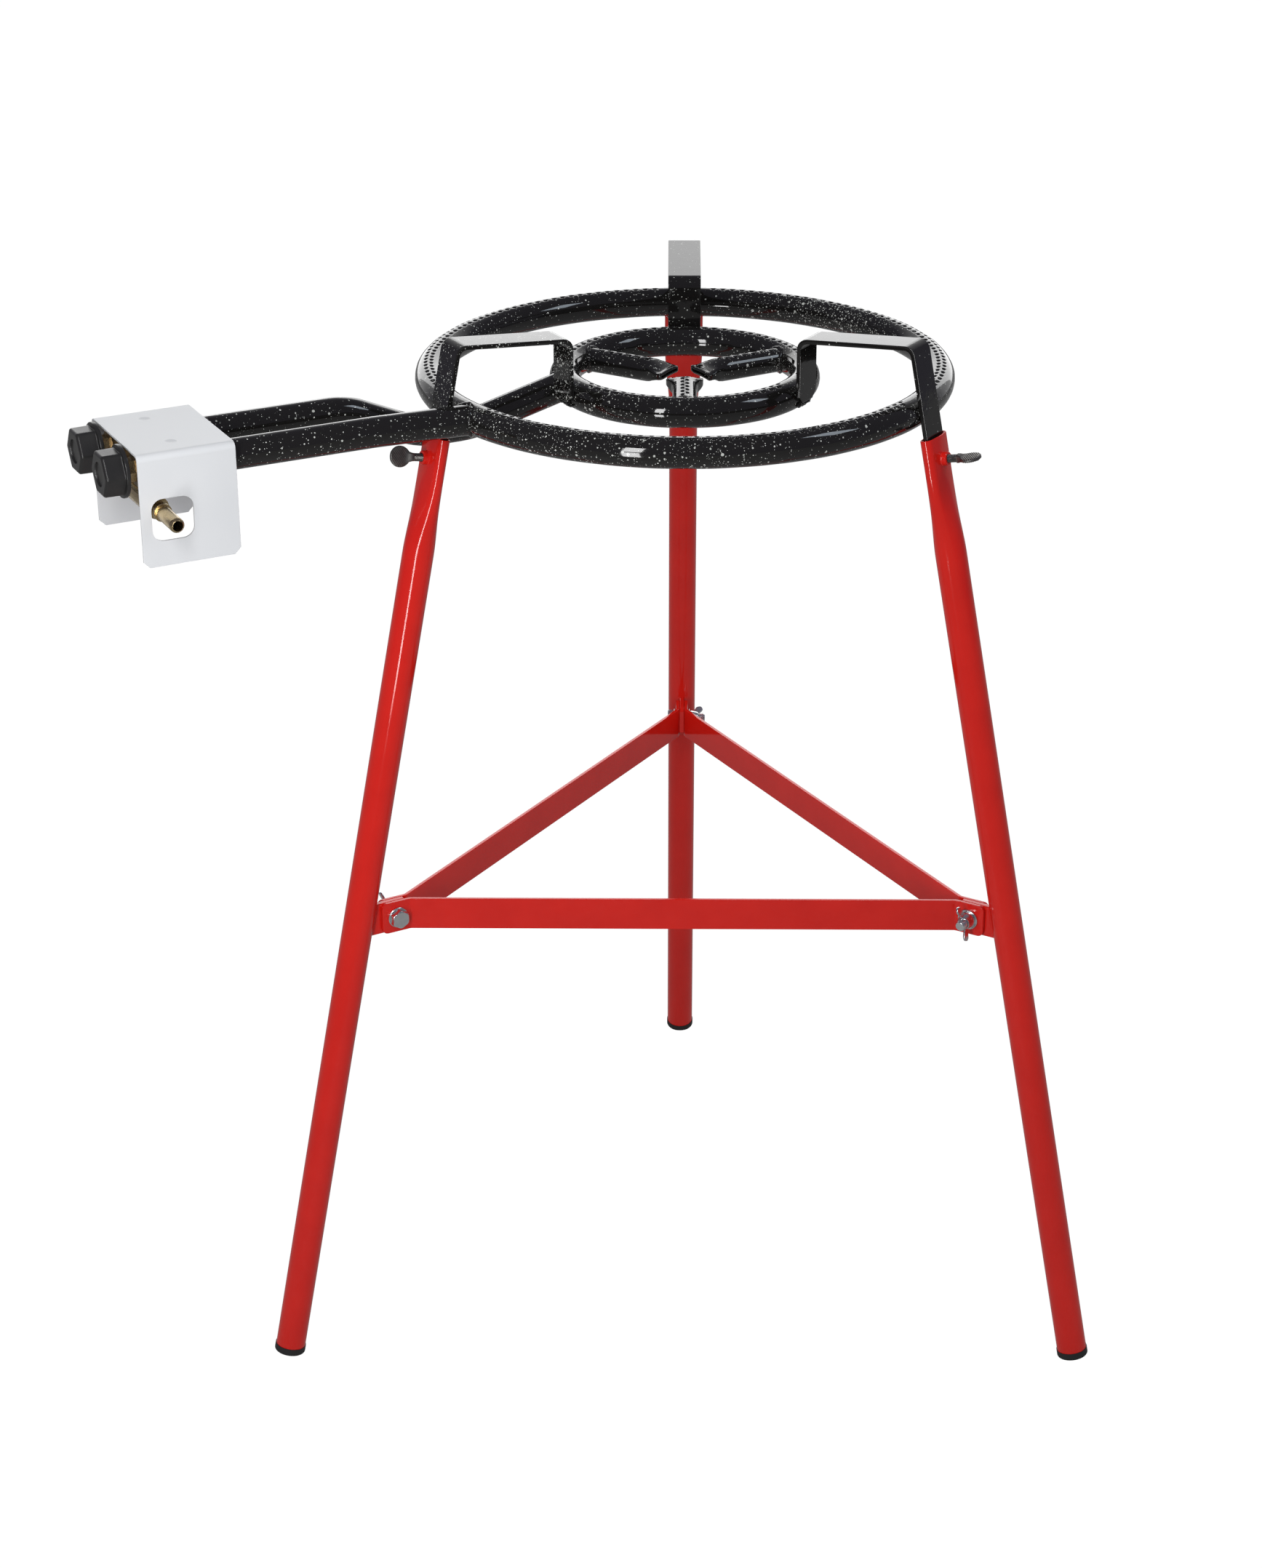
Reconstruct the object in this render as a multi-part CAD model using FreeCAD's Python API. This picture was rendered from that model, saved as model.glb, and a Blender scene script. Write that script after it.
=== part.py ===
import FreeCAD, Part
import math
import os

from FreeCAD import Matrix, Placement, Rotation, Vector

# A two-ring gas burner on a three-legged stand, in millimetres, +Z up.
# The origin is on the floor, on the rings' axis, and -Y is the front.

# Overall sizes
stand_height = 800.0
outer_ring_diameter = 400.0
inner_ring_diameter = 201.0
inner_ring_drop = 3.0
leg_splay = 11.74
weld_bite = 0.5

# Places round the axis, in degrees from +X
leg_azimuths = {"rear": 90.0, "left": 210.0, "right": 330.0}
stub_azimuths = {"front": 270.0, "left": 150.0, "right": 30.0}
feed_azimuth = 207.5

# Burner tubes
ring_tube_diameter = 22.5
feed_tube_step = 0.5
tube_wall = 1.5
port_diameter = 2.0
port_pitch = 7.8
port_tilts = (-6.0, 16.0)
support_port_gap = 5.5
inner_support_port_gap = 9.0
feed_port_gap = 4.0

# Burning stubs inside the inner ring
stub_diameter = 18.0
stub_end_radius = 13.0
stub_flat_length = 15.0
stub_blend_length = 18.0
stub_flat_width = 27.5
stub_flat_thickness = 3.6
stub_port_tilts = (-11.0, 11.0)

# Pan supports, bent from flat bar
support_width = 25.0
support_thickness = 3.5
support_bend_radius = 5.0
support_rise = 50.5
support_slope = 5.0
support_foot_drop = 6.0
support_corner = 5.5
support_engagement = 40.0

# Legs, flattened at the top into sockets for the pan supports
leg_diameter = 23.0
leg_wall = 1.5
socket_side_room = 1.25
socket_face_room = 1.5
socket_crown = 0.25
socket_length = 50.0
socket_blend = 35.0
socket_mouth_drop = 16.0

# Foot caps
foot_rim = 0.5
foot_height = 6.0
foot_edge_radius = 1.5
foot_plug_length = 20.0
foot_plug_clearance = 0.1
foot_plug_wall = 2.0
foot_flat_depth = 1.0

# Thumb screws and their bosses
screw_diameter = 6.0
screw_clearance = 0.05
screw_drop = 17.0
boss_diameter = 10.0
boss_height = 5.0
screw_tip_gap = 0.1
spade_diameter = 15.5
spade_thickness = 3.0
spade_edge_radius = 1.0
screw_reach = 30.0
neck_diameter = 8.0
neck_length = 5.0
screw_phases = {"rear": 30.0, "left": 0.0, "right": 65.0}

# Brace of three flat strips, with a lug on each leg
brace_height = 361.0
bolt_to_leg = 30.25
strip_width = 25.0
strip_thickness = 3.0
bolt_to_bend = 11.0
strip_bend_radius = 4.0
bolt_to_strip_end = 12.5
strip_corner = 4.0
strip_hole_diameter = 8.4
lug_thickness = 4.0
bolt_to_lug_end = 10.0
lug_corner = 3.0
lug_gap = 0.1

# Brace bolts
bolt_diameter = 8.0
bolt_clearance = 0.05
bolt_past_nut = 5.8
bolt_chamfer = 0.8
bolt_head_flats = 13.0
bolt_head_height = 5.3
washer_diameter = 16.0
washer_thickness = 1.6
nut_base_diameter = 13.0
nut_top_diameter = 10.0
nut_height = 7.5
nut_wing_thickness = 1.8
nut_wing_low = 1.9
nut_wing_shoulder = 6.7
nut_lobe_diameter = 6.4
nut_lobe_at = 10.55
nut_lobe_height = 8.4
nut_phases = {"rear": 20.0, "left": 70.0, "right": 108.0}

# Gas feed: its own frame has x outward, y to the front and z from the ring plane
feed_support_gap = 0.7
inner_feed_gap = 7.0
feed_level = 1.9
feed_reach = 229.25
knee_reach = 73.25
outer_feed_bend = 200.0
dip_reach = 16.25
rise_reach = 23.75
knee_bend = 60.0
dip_bend = 60.0
rise_bend = 80.0
pass_gap = 0.55

# The gas side below is measured along x from the feed tubes' mouths
air_hole_diameter = 9.0
air_hole_at = -18.0

# Valve cover
cover_near = -45.5
cover_length = 70.0
cover_margin = 21.65
cover_bottom = -62.5
cover_sheet = 1.5
cover_bend_radius = 3.5
cover_corner = 4.5
window_size = 30.0
window_corner = 8.0
window_at = 1.8
window_level = -29.5
post_diameter = 8.0
post_height = 3.2
post_at = -7.0
dimple_diameter = 9.0
dimple_depth = 0.8

# Valves and manifold
mixer_plug_length = 8.0
nipple_diameter = 12.0
nipple_start = -9.0
barrel_diameter = 25.0
barrel_start = 2.0
barrel_end = 20.0
barrel_edge = 1.2
valve_leg_at = 9.0
valve_leg_diameter = 14.0
gas_bore = 6.0
leg_bore = 7.0
injector_flats = 8.0
injector_hex_length = 4.0
injector_nose_length = 3.0
injector_thread_diameter = 7.0
injector_thread_length = 4.0
injector_orifice = 1.0
tap_near = 5.0
tap_far = 18.0
tap_near_diameter = 9.0
tap_far_diameter = 12.0
tap_clearance = 0.05
tap_port_diameter = 3.6
gland_flats = 15.0
gland_end = 26.5
gland_spigot_diameter = 14.0
gland_spigot_length = 1.9
stem_diameter = 6.0
stem_flat = 0.8
stem_clearance = 0.05
stem_start = 15.2
stem_end = 41.0
stem_end_gap = 0.7
manifold_diameter = 16.0
manifold_wall = 3.0
manifold_level = -24.0
manifold_overrun = 12.0
end_plug_head = 2.0
end_plug_length = 5.0

# Hose barb
barb_spigot_length = 7.0
barb_base_diameter = 11.0
barb_base_length = 8.0
barb_collar_diameter = 13.0
barb_collar_length = 3.0
barb_tail_diameter = 10.4
barb_tail_length = 30.0
barb_tail_chamfer = 1.5
barb_bore = 7.0

# Knobs
knob_push = 3.0
knob_cover_gap = 0.5
knob_skirt_diameter = 37.0
knob_skirt_length = 3.0
knob_flats = 29.5
knob_length = 17.0
knob_edge_radius = 2.0
knob_side_radius = 3.0
knob_cavity_diameter = 19.5
knob_cavity_depth = 4.0
knob_recess_diameter = 17.0
knob_recess_depth = 1.2

# Small allowance by which a cutter passes the face that it cuts
over = 1.0

# Places worked out from the sizes above
ring_level = stand_height - support_rise
inner_ring_level = ring_level - inner_ring_drop
ring_tube_radius = ring_tube_diameter / 2
feed_tube_diameter = ring_tube_diameter - feed_tube_step
outer_ring_radius = outer_ring_diameter / 2 - ring_tube_radius
inner_ring_radius = inner_ring_diameter / 2 - ring_tube_radius
feed_radius = feed_tube_diameter / 2
splay = math.radians(leg_splay)
slope = math.radians(support_slope)
bar_to_ring = ring_tube_radius + support_thickness / 2 - weld_bite
leg_axis_radius = outer_ring_radius + bar_to_ring / math.cos(splay)
leg_floor_radius = leg_axis_radius + ring_level * math.tan(splay)
leg_brace_radius = leg_floor_radius - brace_height * math.tan(splay)
leg_mouth = (ring_level - socket_mouth_drop) / math.cos(splay)
socket_depth = support_thickness + 2 * socket_face_room + 2 * leg_wall
socket_width = support_width + 2 * socket_side_room + 2 * leg_wall
foot_diameter = leg_diameter + 2 * foot_rim
foot_base = (foot_diameter / 2 * math.sin(splay) - foot_flat_depth) / math.cos(splay)
screw_height = leg_mouth - screw_drop
tab_offset = lug_thickness / 2 + lug_gap + strip_thickness / 2
tab_face = tab_offset + strip_thickness / 2
leg_frame = Placement(Vector(leg_floor_radius, 0, 0), Rotation(Vector(0, 1, 0), -leg_splay))
feed_frame = Placement(Vector(0, 0, ring_level), Rotation(Vector(0, 0, 1), feed_azimuth))
brace_bolt_radius = leg_brace_radius - bolt_to_leg
strip_bend_at = brace_bolt_radius - bolt_to_bend
strip_end_radius = brace_bolt_radius + bolt_to_strip_end
bolt_reach = tab_face + washer_thickness + nut_height + bolt_past_nut
feed_mouth = outer_ring_radius + feed_reach
mouth_frame = feed_frame.multiply(Placement(Vector(feed_mouth, 0, 0), Rotation()))
support_side = leg_axis_radius * math.sin(math.radians(leg_azimuths["left"] - feed_azimuth))
beside_support = support_width / 2 + feed_radius
outer_feed_side = support_side + beside_support + feed_support_gap
inner_feed_side = support_side - beside_support - inner_feed_gap
feed_sides = {"outer": outer_feed_side, "inner": inner_feed_side}
cover_centre_side = (outer_feed_side + inner_feed_side) / 2
cover_width = outer_feed_side - inner_feed_side + 2 * cover_margin
cover_top = feed_level + feed_radius + post_height + cover_sheet
manifold_bore = manifold_diameter - 2 * manifold_wall
manifold_left = inner_feed_side - manifold_overrun
manifold_right = outer_feed_side + manifold_overrun
knob_base = cover_near + cover_length + knob_push + knob_cover_gap

UP = Vector(0, 0, 1)
OUT = Vector(1, 0, 0)
SIDE = Vector(0, 1, 0)


def save(name, *solids):
    """Write one node, made of one solid or of several like ones."""
    shape = solids[0] if len(solids) == 1 else Part.makeCompound(list(solids))
    shape.exportStep(f"parts/{name}.step")
    sound = all(solid.isValid() and len(solid.Solids) == 1 for solid in solids)
    print(f"{name:26} {shape.Volume:12.1f} mm3  {'ok' if sound else 'CHECK'}")


def turned(shape, azimuth):
    """A copy of a shape, turned about the stand's axis."""
    return shape.rotated(Vector(0, 0, 0), UP, azimuth)


def placed(shape, placement):
    """A copy of a shape, carried from its own frame by a placement."""
    moved = shape.copy()
    moved.Placement = placement.multiply(moved.Placement)
    return moved


def rod(diameter, length, start, direction):
    return Part.makeCylinder(diameter / 2, length, start, direction)


def cone(start_diameter, end_diameter, length, start, direction):
    return Part.makeCone(start_diameter / 2, end_diameter / 2, length, start, direction)


def round_edges(shape):
    """The whole circles among a shape's edges."""
    return [edge for edge in shape.Edges if edge.Closed and len(edge.Vertexes) == 1]


def long_edges(shape, direction):
    """The edges that run along a direction."""
    return [e for e in shape.Edges if abs(e.tangentAt(e.FirstParameter).dot(direction)) > 0.9]


def hexagon(flats, length, start, direction, first_corner):
    """A hexagonal prism; first_corner is the direction of one of its corners."""
    corner_radius = flats / 2 / math.cos(math.pi / 6)
    turn = [Rotation(direction, 60 * k) for k in range(6)]
    corners = [start + r.multVec(first_corner * corner_radius) for r in turn]
    outline = Part.makePolygon(corners + corners[:1])
    return Part.Face(outline).extrude(direction * length)


def block(x_range, y_range, z_range):
    """A box between pairs of limits."""
    size = [high - low for low, high in (x_range, y_range, z_range)]
    return Part.makeBox(*size, Vector(x_range[0], y_range[0], z_range[0]))


def folded_bar(corners, inside_radius, thickness, width):
    """Flat bar bent along a flat route: its profile is in XY, its width along Z, centred."""
    centre_radius = inside_radius + thickness / 2
    points = [Vector(a, b, 0) for a, b in corners]
    legs = [(q - p).normalize() for p, q in zip(points, points[1:])]
    lefts = [Vector(-d.y, d.x, 0) for d in legs]

    def side(sign):
        """The edges along one side of the bar, from its first end to its last."""
        shift = sign * thickness / 2
        edges = []
        start = points[0] + lefts[0] * shift
        for k in range(1, len(points) - 1):
            before, after = legs[k - 1], legs[k]
            turn = math.atan2(before.cross(after).z, before.dot(after))
            bend = math.copysign(1, turn)
            reach = centre_radius * math.tan(abs(turn) / 2)
            centre = points[k] - before * reach + lefts[k - 1] * (bend * centre_radius)
            outward = (points[k] - centre).normalize()
            arc_start = points[k] - before * reach + lefts[k - 1] * shift
            arc_end = points[k] + after * reach + lefts[k] * shift
            arc_middle = centre + outward * (centre_radius - bend * shift)
            edges.append(Part.LineSegment(start, arc_start).toShape())
            edges.append(Part.Arc(arc_start, arc_middle, arc_end).toShape())
            start = arc_end
        end = points[-1] + lefts[-1] * shift
        edges.append(Part.LineSegment(start, end).toShape())
        return edges, end

    left_edges, left_end = side(1)
    right_edges, right_end = side(-1)
    half = lefts[0] * (thickness / 2)
    first = Part.LineSegment(points[0] + half, points[0] - half)
    last = Part.LineSegment(left_end, right_end)
    edges = Part.__sortEdges__(left_edges + right_edges + [first.toShape(), last.toShape()])
    face = Part.Face(Part.Wire(edges))
    face.translate(Vector(0, 0, -width / 2))
    return face.extrude(Vector(0, 0, width))


def standing(shape, x_direction, y_direction):
    """Stand a shape drawn in XY on two other directions."""
    z_direction = x_direction.cross(y_direction)
    rows = zip(x_direction, y_direction, z_direction)
    cells = []
    for row in rows:
        cells.extend([*row, 0])
    return placed(shape, Placement(Matrix(*cells, 0, 0, 0, 1)))


def corner_cutter(corner, inward_a, inward_b, size, depth_direction, depth):
    """A wedge that takes the corner off a plate that is centred across its thickness."""
    low = corner - depth_direction * (depth / 2)
    slack_a = inward_a * over
    slack_b = inward_b * over
    outline = [low - slack_a - slack_b, low + inward_a * size - slack_b, low + inward_a * size]
    outline += [low + inward_b * size, low + inward_b * size - slack_a]
    return Part.Face(Part.makePolygon(outline + outline[:1])).extrude(depth_direction * depth)


def oval(round_radius, half_depth, half_width, flattening, level):
    """A tube's outline, of four arcs, pressed along X from a circle towards a flat oval."""
    lean = round_radius * math.sqrt(0.5)

    def mix(circle, flat):
        return circle + (flat - circle) * flattening

    end = mix(round_radius, half_width)
    side = mix(round_radius, half_depth + socket_crown)
    join_x = mix(lean, half_depth)
    join_y = mix(lean, half_width - half_depth)
    stops = [(join_x, -join_y), (side, 0), (join_x, join_y), (0, end)]
    stops += [(-join_x, join_y), (-side, 0), (-join_x, -join_y), (0, -end)]
    p = [Vector(x, y, level) for x, y in stops]
    arcs = [Part.Arc(p[k], p[k + 1], p[(k + 2) % 8]).toShape() for k in (0, 2, 4, 6)]
    return Part.Wire(arcs)


def pressed_tube(radius, half_depth, half_width, stops):
    """A solid rod, round from stops[0] to stops[1], flat from stops[2] to stops[3] along Z."""
    start, blend_start, blend_end, end = stops
    round_face = Part.Face(oval(radius, half_depth, half_width, 0, start))
    flat_face = Part.Face(oval(radius, half_depth, half_width, 1, blend_end))
    round_part = round_face.extrude(UP * (blend_start - start))
    flat_part = flat_face.extrude(UP * (end - blend_end))
    sections = []
    steps = 6
    for k in range(steps + 1):
        share = k / steps
        ease = share * share * (3 - 2 * share)
        level = blend_start + (blend_end - blend_start) * share
        sections.append(oval(radius, half_depth, half_width, ease, level))
    blend = Part.makeLoft(sections, True, False)
    return round_part.fuse([blend, flat_part])


def ring_solid(ring_radius, tube_radius, level):
    """A solid ring whose seams lie under it and beside the rear support."""
    start = math.radians(-90)
    middle = Vector(ring_radius, 0, level)
    bottom = middle + Vector(math.cos(start), 0, math.sin(start)) * tube_radius
    top = middle - Vector(math.cos(start), 0, math.sin(start)) * tube_radius
    outer = Part.Arc(bottom, middle + OUT * tube_radius, top).toShape()
    inner = Part.Arc(top, middle - OUT * tube_radius, bottom).toShape()
    ring = Part.Face(Part.Wire([outer, inner])).revolve(Vector(0, 0, 0), UP, 360)
    return turned(ring, leg_azimuths["rear"] + support_port_gap)


def port_drills(ring_radius, level, closed):
    """Drills for the two staggered rows of ports; closed lists azimuths and half gaps."""
    drills = []
    count = round(2 * math.pi * ring_radius / port_pitch)
    reach = ring_tube_radius - tube_wall - over
    for row, tilt in enumerate(port_tilts):
        lean = math.radians(tilt)
        for k in range(count):
            azimuth = 360 * (k + row / 2) / count
            gaps = [abs((azimuth - middle + 180) % 360 - 180) - half for middle, half in closed]
            if min(gaps) < 0:
                continue
            direction = turned_vector(Vector(math.sin(lean), 0, math.cos(lean)), azimuth)
            centre = turned_vector(Vector(ring_radius, 0, level), azimuth)
            drills.append(rod(port_diameter, tube_wall + 2 * over, centre + direction * reach, direction))
    return drills


def turned_vector(vector, azimuth):
    return Rotation(UP, azimuth).multVec(vector)


def feed_entry(side, ring_radius):
    """Where a feed tube's axis, seen from above, meets a ring's centre line."""
    return math.sqrt(ring_radius ** 2 - side ** 2)


def hollow_ring(ring_radius, level, gas_holes, closed):
    ring = ring_solid(ring_radius, ring_tube_radius, level)
    ring = ring.cut(ring_solid(ring_radius, ring_tube_radius - tube_wall, level))
    ring = ring.cut(gas_holes)
    return ring.cut(port_drills(ring_radius, level, closed))


def feed_route(kind):
    """Points and bend radii of a feed tube's axis, from its mouth to its ring."""
    side = feed_sides[kind]
    knee = outer_ring_radius + knee_reach
    if kind == "outer":
        entry = feed_entry(side, outer_ring_radius)
        places = [(feed_mouth, feed_level, 0), (knee, feed_level, outer_feed_bend), (entry, 0, 0)]
    else:
        entry = feed_entry(side, inner_ring_radius)
        low = -(ring_tube_radius + pass_gap + feed_radius)
        places = [(feed_mouth, feed_level, 0), (knee, feed_level, knee_bend)]
        places.append((outer_ring_radius + dip_reach, low, dip_bend))
        places.append((outer_ring_radius - rise_reach, low, rise_bend))
        places.append((entry, -inner_ring_drop, 0))
    return [(Vector(x, side, z), bend) for x, z, bend in places]


def tube_along(route, diameter):
    """A solid rod along straight runs joined by arcs."""
    edges = []
    start = route[0][0]
    for (before, _), (corner, bend), (after, _) in zip(route, route[1:], route[2:]):
        inward = (before - corner).normalize()
        onward = (after - corner).normalize()
        half_turn = (math.pi - inward.getAngle(onward)) / 2
        reach = bend * math.tan(half_turn)
        bisector = (inward + onward).normalize()
        middle = corner + bisector * (bend / math.cos(half_turn) - bend)
        edges.append(Part.LineSegment(start, corner + inward * reach).toShape())
        start = corner + onward * reach
        edges.append(Part.Arc(corner + inward * reach, middle, start).toShape())
    edges.append(Part.LineSegment(start, route[-1][0]).toShape())
    direction = (route[1][0] - route[0][0]).normalize()
    profile = Part.Wire(Part.makeCircle(diameter / 2, route[0][0], direction))
    return Part.Wire(edges).makePipeShell([profile], True, False)


def gas_hole(kind):
    """The cutter that opens a ring's wall where its feed tube joins."""
    route = feed_route(kind)
    end = route[-1][0]
    direction = (route[-2][0] - end).normalize()
    drill = rod(feed_tube_diameter - 2 * tube_wall - over, ring_tube_diameter, end, direction)
    return placed(drill, feed_frame)


def stub_gas_holes():
    bore = stub_diameter - 2 * tube_wall - over
    drill = rod(bore, ring_tube_diameter, Vector(inner_ring_radius, 0, inner_ring_level), -OUT)
    return [turned(drill, azimuth) for azimuth in stub_azimuths.values()]


def make_rings():
    supports = leg_azimuths.values()
    outer_gaps = [(azimuth, support_port_gap) for azimuth in supports]
    inner_gaps = [(azimuth, inner_support_port_gap) for azimuth in supports]
    feed_turn = math.degrees(math.asin(outer_feed_side / outer_ring_radius))
    outer_gaps.append((feed_azimuth + feed_turn, feed_port_gap))
    outer_holes = [gas_hole("outer")]
    outer_ring = hollow_ring(outer_ring_radius, ring_level, outer_holes, outer_gaps)
    inner_holes = [gas_hole("inner")] + stub_gas_holes()
    inner_ring = hollow_ring(inner_ring_radius, inner_ring_level, inner_holes, inner_gaps)
    save("outer_ring", outer_ring)
    save("inner_ring", inner_ring)


def make_stubs():
    """Short tubes inside the inner ring, pinched shut at their inner ends."""
    radius = stub_diameter / 2
    reach = inner_ring_radius - stub_end_radius
    round_length = reach - stub_flat_length - stub_blend_length
    stops = [0, round_length, round_length + stub_blend_length, reach]
    outside = pressed_tube(radius, stub_flat_thickness / 2, stub_flat_width / 2, stops)
    slit = (stub_flat_thickness - 2 * tube_wall) / 2
    slit_width = stub_flat_width / 2 - tube_wall
    bore_stops = [0, round_length, round_length + stub_blend_length, reach - stub_flat_length / 2]
    bore = pressed_tube(radius - tube_wall, slit / 2, slit_width, bore_stops)
    stub = outside.cut(bore)
    drills = []
    port_count = int((round_length - ring_tube_radius) / port_pitch) + 1
    for row, tilt in enumerate(stub_port_tilts):
        lean = math.radians(tilt)
        direction = Vector(math.cos(lean), math.sin(lean), 0)
        for k in range(port_count):
            place = ring_tube_radius + port_pitch * (k + 0.5 + row / 2)
            start = direction * (radius - tube_wall - over) + UP * place
            drills.append(rod(port_diameter, tube_wall + 2 * over, start, direction))
    stub = stub.cut(drills)
    # The stub was drawn along Z with its ports towards X: it now lies inward with its ports up.
    stub.rotate(Vector(0, 0, 0), SIDE, -90)
    stub.translate(Vector(inner_ring_radius, 0, inner_ring_level))
    ring = ring_solid(inner_ring_radius, ring_tube_radius, inner_ring_level)
    for name, azimuth in stub_azimuths.items():
        save(f"centre_stub_{name}", turned(stub, azimuth).cut(ring))


def make_supports():
    """Bent bars that carry the pan, join the rings and stand in the legs' sockets."""
    bend_centre = support_bend_radius + support_thickness / 2
    turn = math.pi / 2 - splay + slope
    drop = bend_centre * math.tan(turn / 2) * math.sin(slope) + bend_centre * math.cos(slope)
    corner_rise = support_rise - (support_bend_radius + support_thickness - drop)
    corner_radius = leg_axis_radius - corner_rise * math.tan(splay)
    inner_radius = inner_ring_radius + bar_to_ring
    inner_rise = corner_rise - (corner_radius - inner_radius) * math.tan(slope)
    inner_bottom = -support_foot_drop
    socket_bottom = -(socket_mouth_drop + support_engagement * math.cos(splay))
    outer_bottom = leg_axis_radius - socket_bottom * math.tan(splay)
    corners = [(inner_radius, inner_bottom), (inner_radius, inner_rise)]
    corners += [(corner_radius, corner_rise), (outer_bottom, socket_bottom)]
    bar = folded_bar(corners, support_bend_radius, support_thickness, support_width)
    bar = standing(bar, OUT, UP)
    for sign in (-1, 1):
        corner = Vector(inner_radius, sign * support_width / 2, inner_bottom)
        cutter = corner_cutter(corner, SIDE * -sign, UP, support_corner, OUT, support_thickness + 2 * over)
        bar = bar.cut(cutter)
    bar.translate(UP * ring_level)
    outer = ring_solid(outer_ring_radius, ring_tube_radius, ring_level)
    inner = ring_solid(inner_ring_radius, ring_tube_radius, inner_ring_level)
    for name, azimuth in leg_azimuths.items():
        save(f"pan_support_{name}", turned(bar, azimuth).cut([outer, inner]))


def leg_rod(wall, past):
    """The leg's outside, or with a wall its inside, which runs past both ends."""
    socket_start = leg_mouth - socket_length
    stops = [foot_base + foot_height - past, socket_start - socket_blend, socket_start, leg_mouth + past]
    return pressed_tube(leg_diameter / 2 - wall, socket_depth / 2 - wall, socket_width / 2 - wall, stops)


def make_legs():
    """A leg with its lug, boss, screw and foot, drawn at azimuth zero and set round the axis."""
    outside = leg_rod(0, 0)
    screw_bore = screw_diameter + 2 * screw_clearance
    screw_line = UP * screw_height
    drill = rod(screw_bore, socket_depth / 2 + boss_height + over, screw_line, OUT)
    leg = outside.cut([leg_rod(leg_wall, over), drill])
    face = socket_depth / 2 + boss_height
    boss = rod(boss_diameter, face, screw_line, OUT).cut([outside, drill])
    boss = max(boss.Solids, key=lambda solid: solid.CenterOfMass.x)

    half_height = strip_width / 2
    lug_end_radius = brace_bolt_radius - bolt_to_lug_end
    lug = block((lug_end_radius, leg_brace_radius), (-lug_thickness / 2, lug_thickness / 2),
                (brace_height - half_height, brace_height + half_height))
    for sign in (-1, 1):
        corner = Vector(lug_end_radius, 0, brace_height + sign * half_height)
        lug = lug.cut(corner_cutter(corner, OUT, UP * -sign, lug_corner, SIDE, lug_thickness + 2 * over))
    bolt_bore = bolt_diameter + 2 * bolt_clearance
    bolt_line = Vector(brace_bolt_radius, -lug_thickness, brace_height)
    lug = lug.cut([rod(bolt_bore, 2 * lug_thickness, bolt_line, SIDE), placed(outside, leg_frame)])

    floor = block((leg_floor_radius - foot_diameter, leg_floor_radius + foot_diameter),
                  (-foot_diameter, foot_diameter), (-foot_height, 0))
    foot = placed(foot_cap(), leg_frame).cut(floor)
    for name, azimuth in leg_azimuths.items():
        save(f"leg_{name}", turned(placed(leg, leg_frame), azimuth))
        save(f"lug_{name}", turned(lug, azimuth))
        save(f"screw_boss_{name}", turned(placed(boss, leg_frame), azimuth))
        save(f"foot_cap_{name}", turned(foot, azimuth))
        save(f"thumb_screw_{name}", turned(placed(thumb_screw(screw_phases[name]), leg_frame), azimuth))


def foot_cap():
    """A plug-in cap, along Z, before its low edge is cut flat."""
    base = UP * foot_base
    band = rod(foot_diameter, foot_height, base, UP)
    rim = [edge for edge in band.Edges if edge.BoundBox.ZMax < foot_base + over]
    band = band.makeFillet(foot_edge_radius, rim)
    plug_diameter = leg_diameter - 2 * leg_wall - 2 * foot_plug_clearance
    top = UP * (foot_base + foot_height)
    plug = rod(plug_diameter, foot_plug_length - over, top, UP)
    lead_in = cone(plug_diameter, plug_diameter - 2 * over, over, top + UP * (foot_plug_length - over), UP)
    hollow = rod(plug_diameter - 2 * foot_plug_wall, foot_plug_length + over, top, UP)
    return band.fuse([plug, lead_in]).cut(hollow).removeSplitter()


def thumb_screw(phase):
    """A screw along X with a spade head turned by a phase about its own axis."""
    tip = socket_depth / 2 - leg_wall + socket_crown + screw_tip_gap
    spade_middle = socket_depth / 2 + screw_reach - spade_diameter / 2
    shaft = rod(screw_diameter, spade_middle - tip, OUT * tip, OUT)
    neck_start = spade_middle - spade_diameter / 2 - neck_length / 2
    neck = cone(screw_diameter, neck_diameter, neck_length, OUT * neck_start, OUT)
    slab = block((neck_start - over, spade_middle), (-neck_diameter, neck_diameter),
                 (-screw_diameter / 2, screw_diameter / 2))
    spade = rod(spade_diameter, spade_thickness, Vector(spade_middle, 0, -spade_thickness / 2), UP)
    spade = spade.makeFillet(spade_edge_radius, round_edges(spade))
    screw = shaft.fuse([neck.common(slab), spade]).removeSplitter()
    screw.rotate(Vector(0, 0, 0), OUT, 90 + phase)
    screw.translate(UP * screw_height)
    return screw


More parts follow.
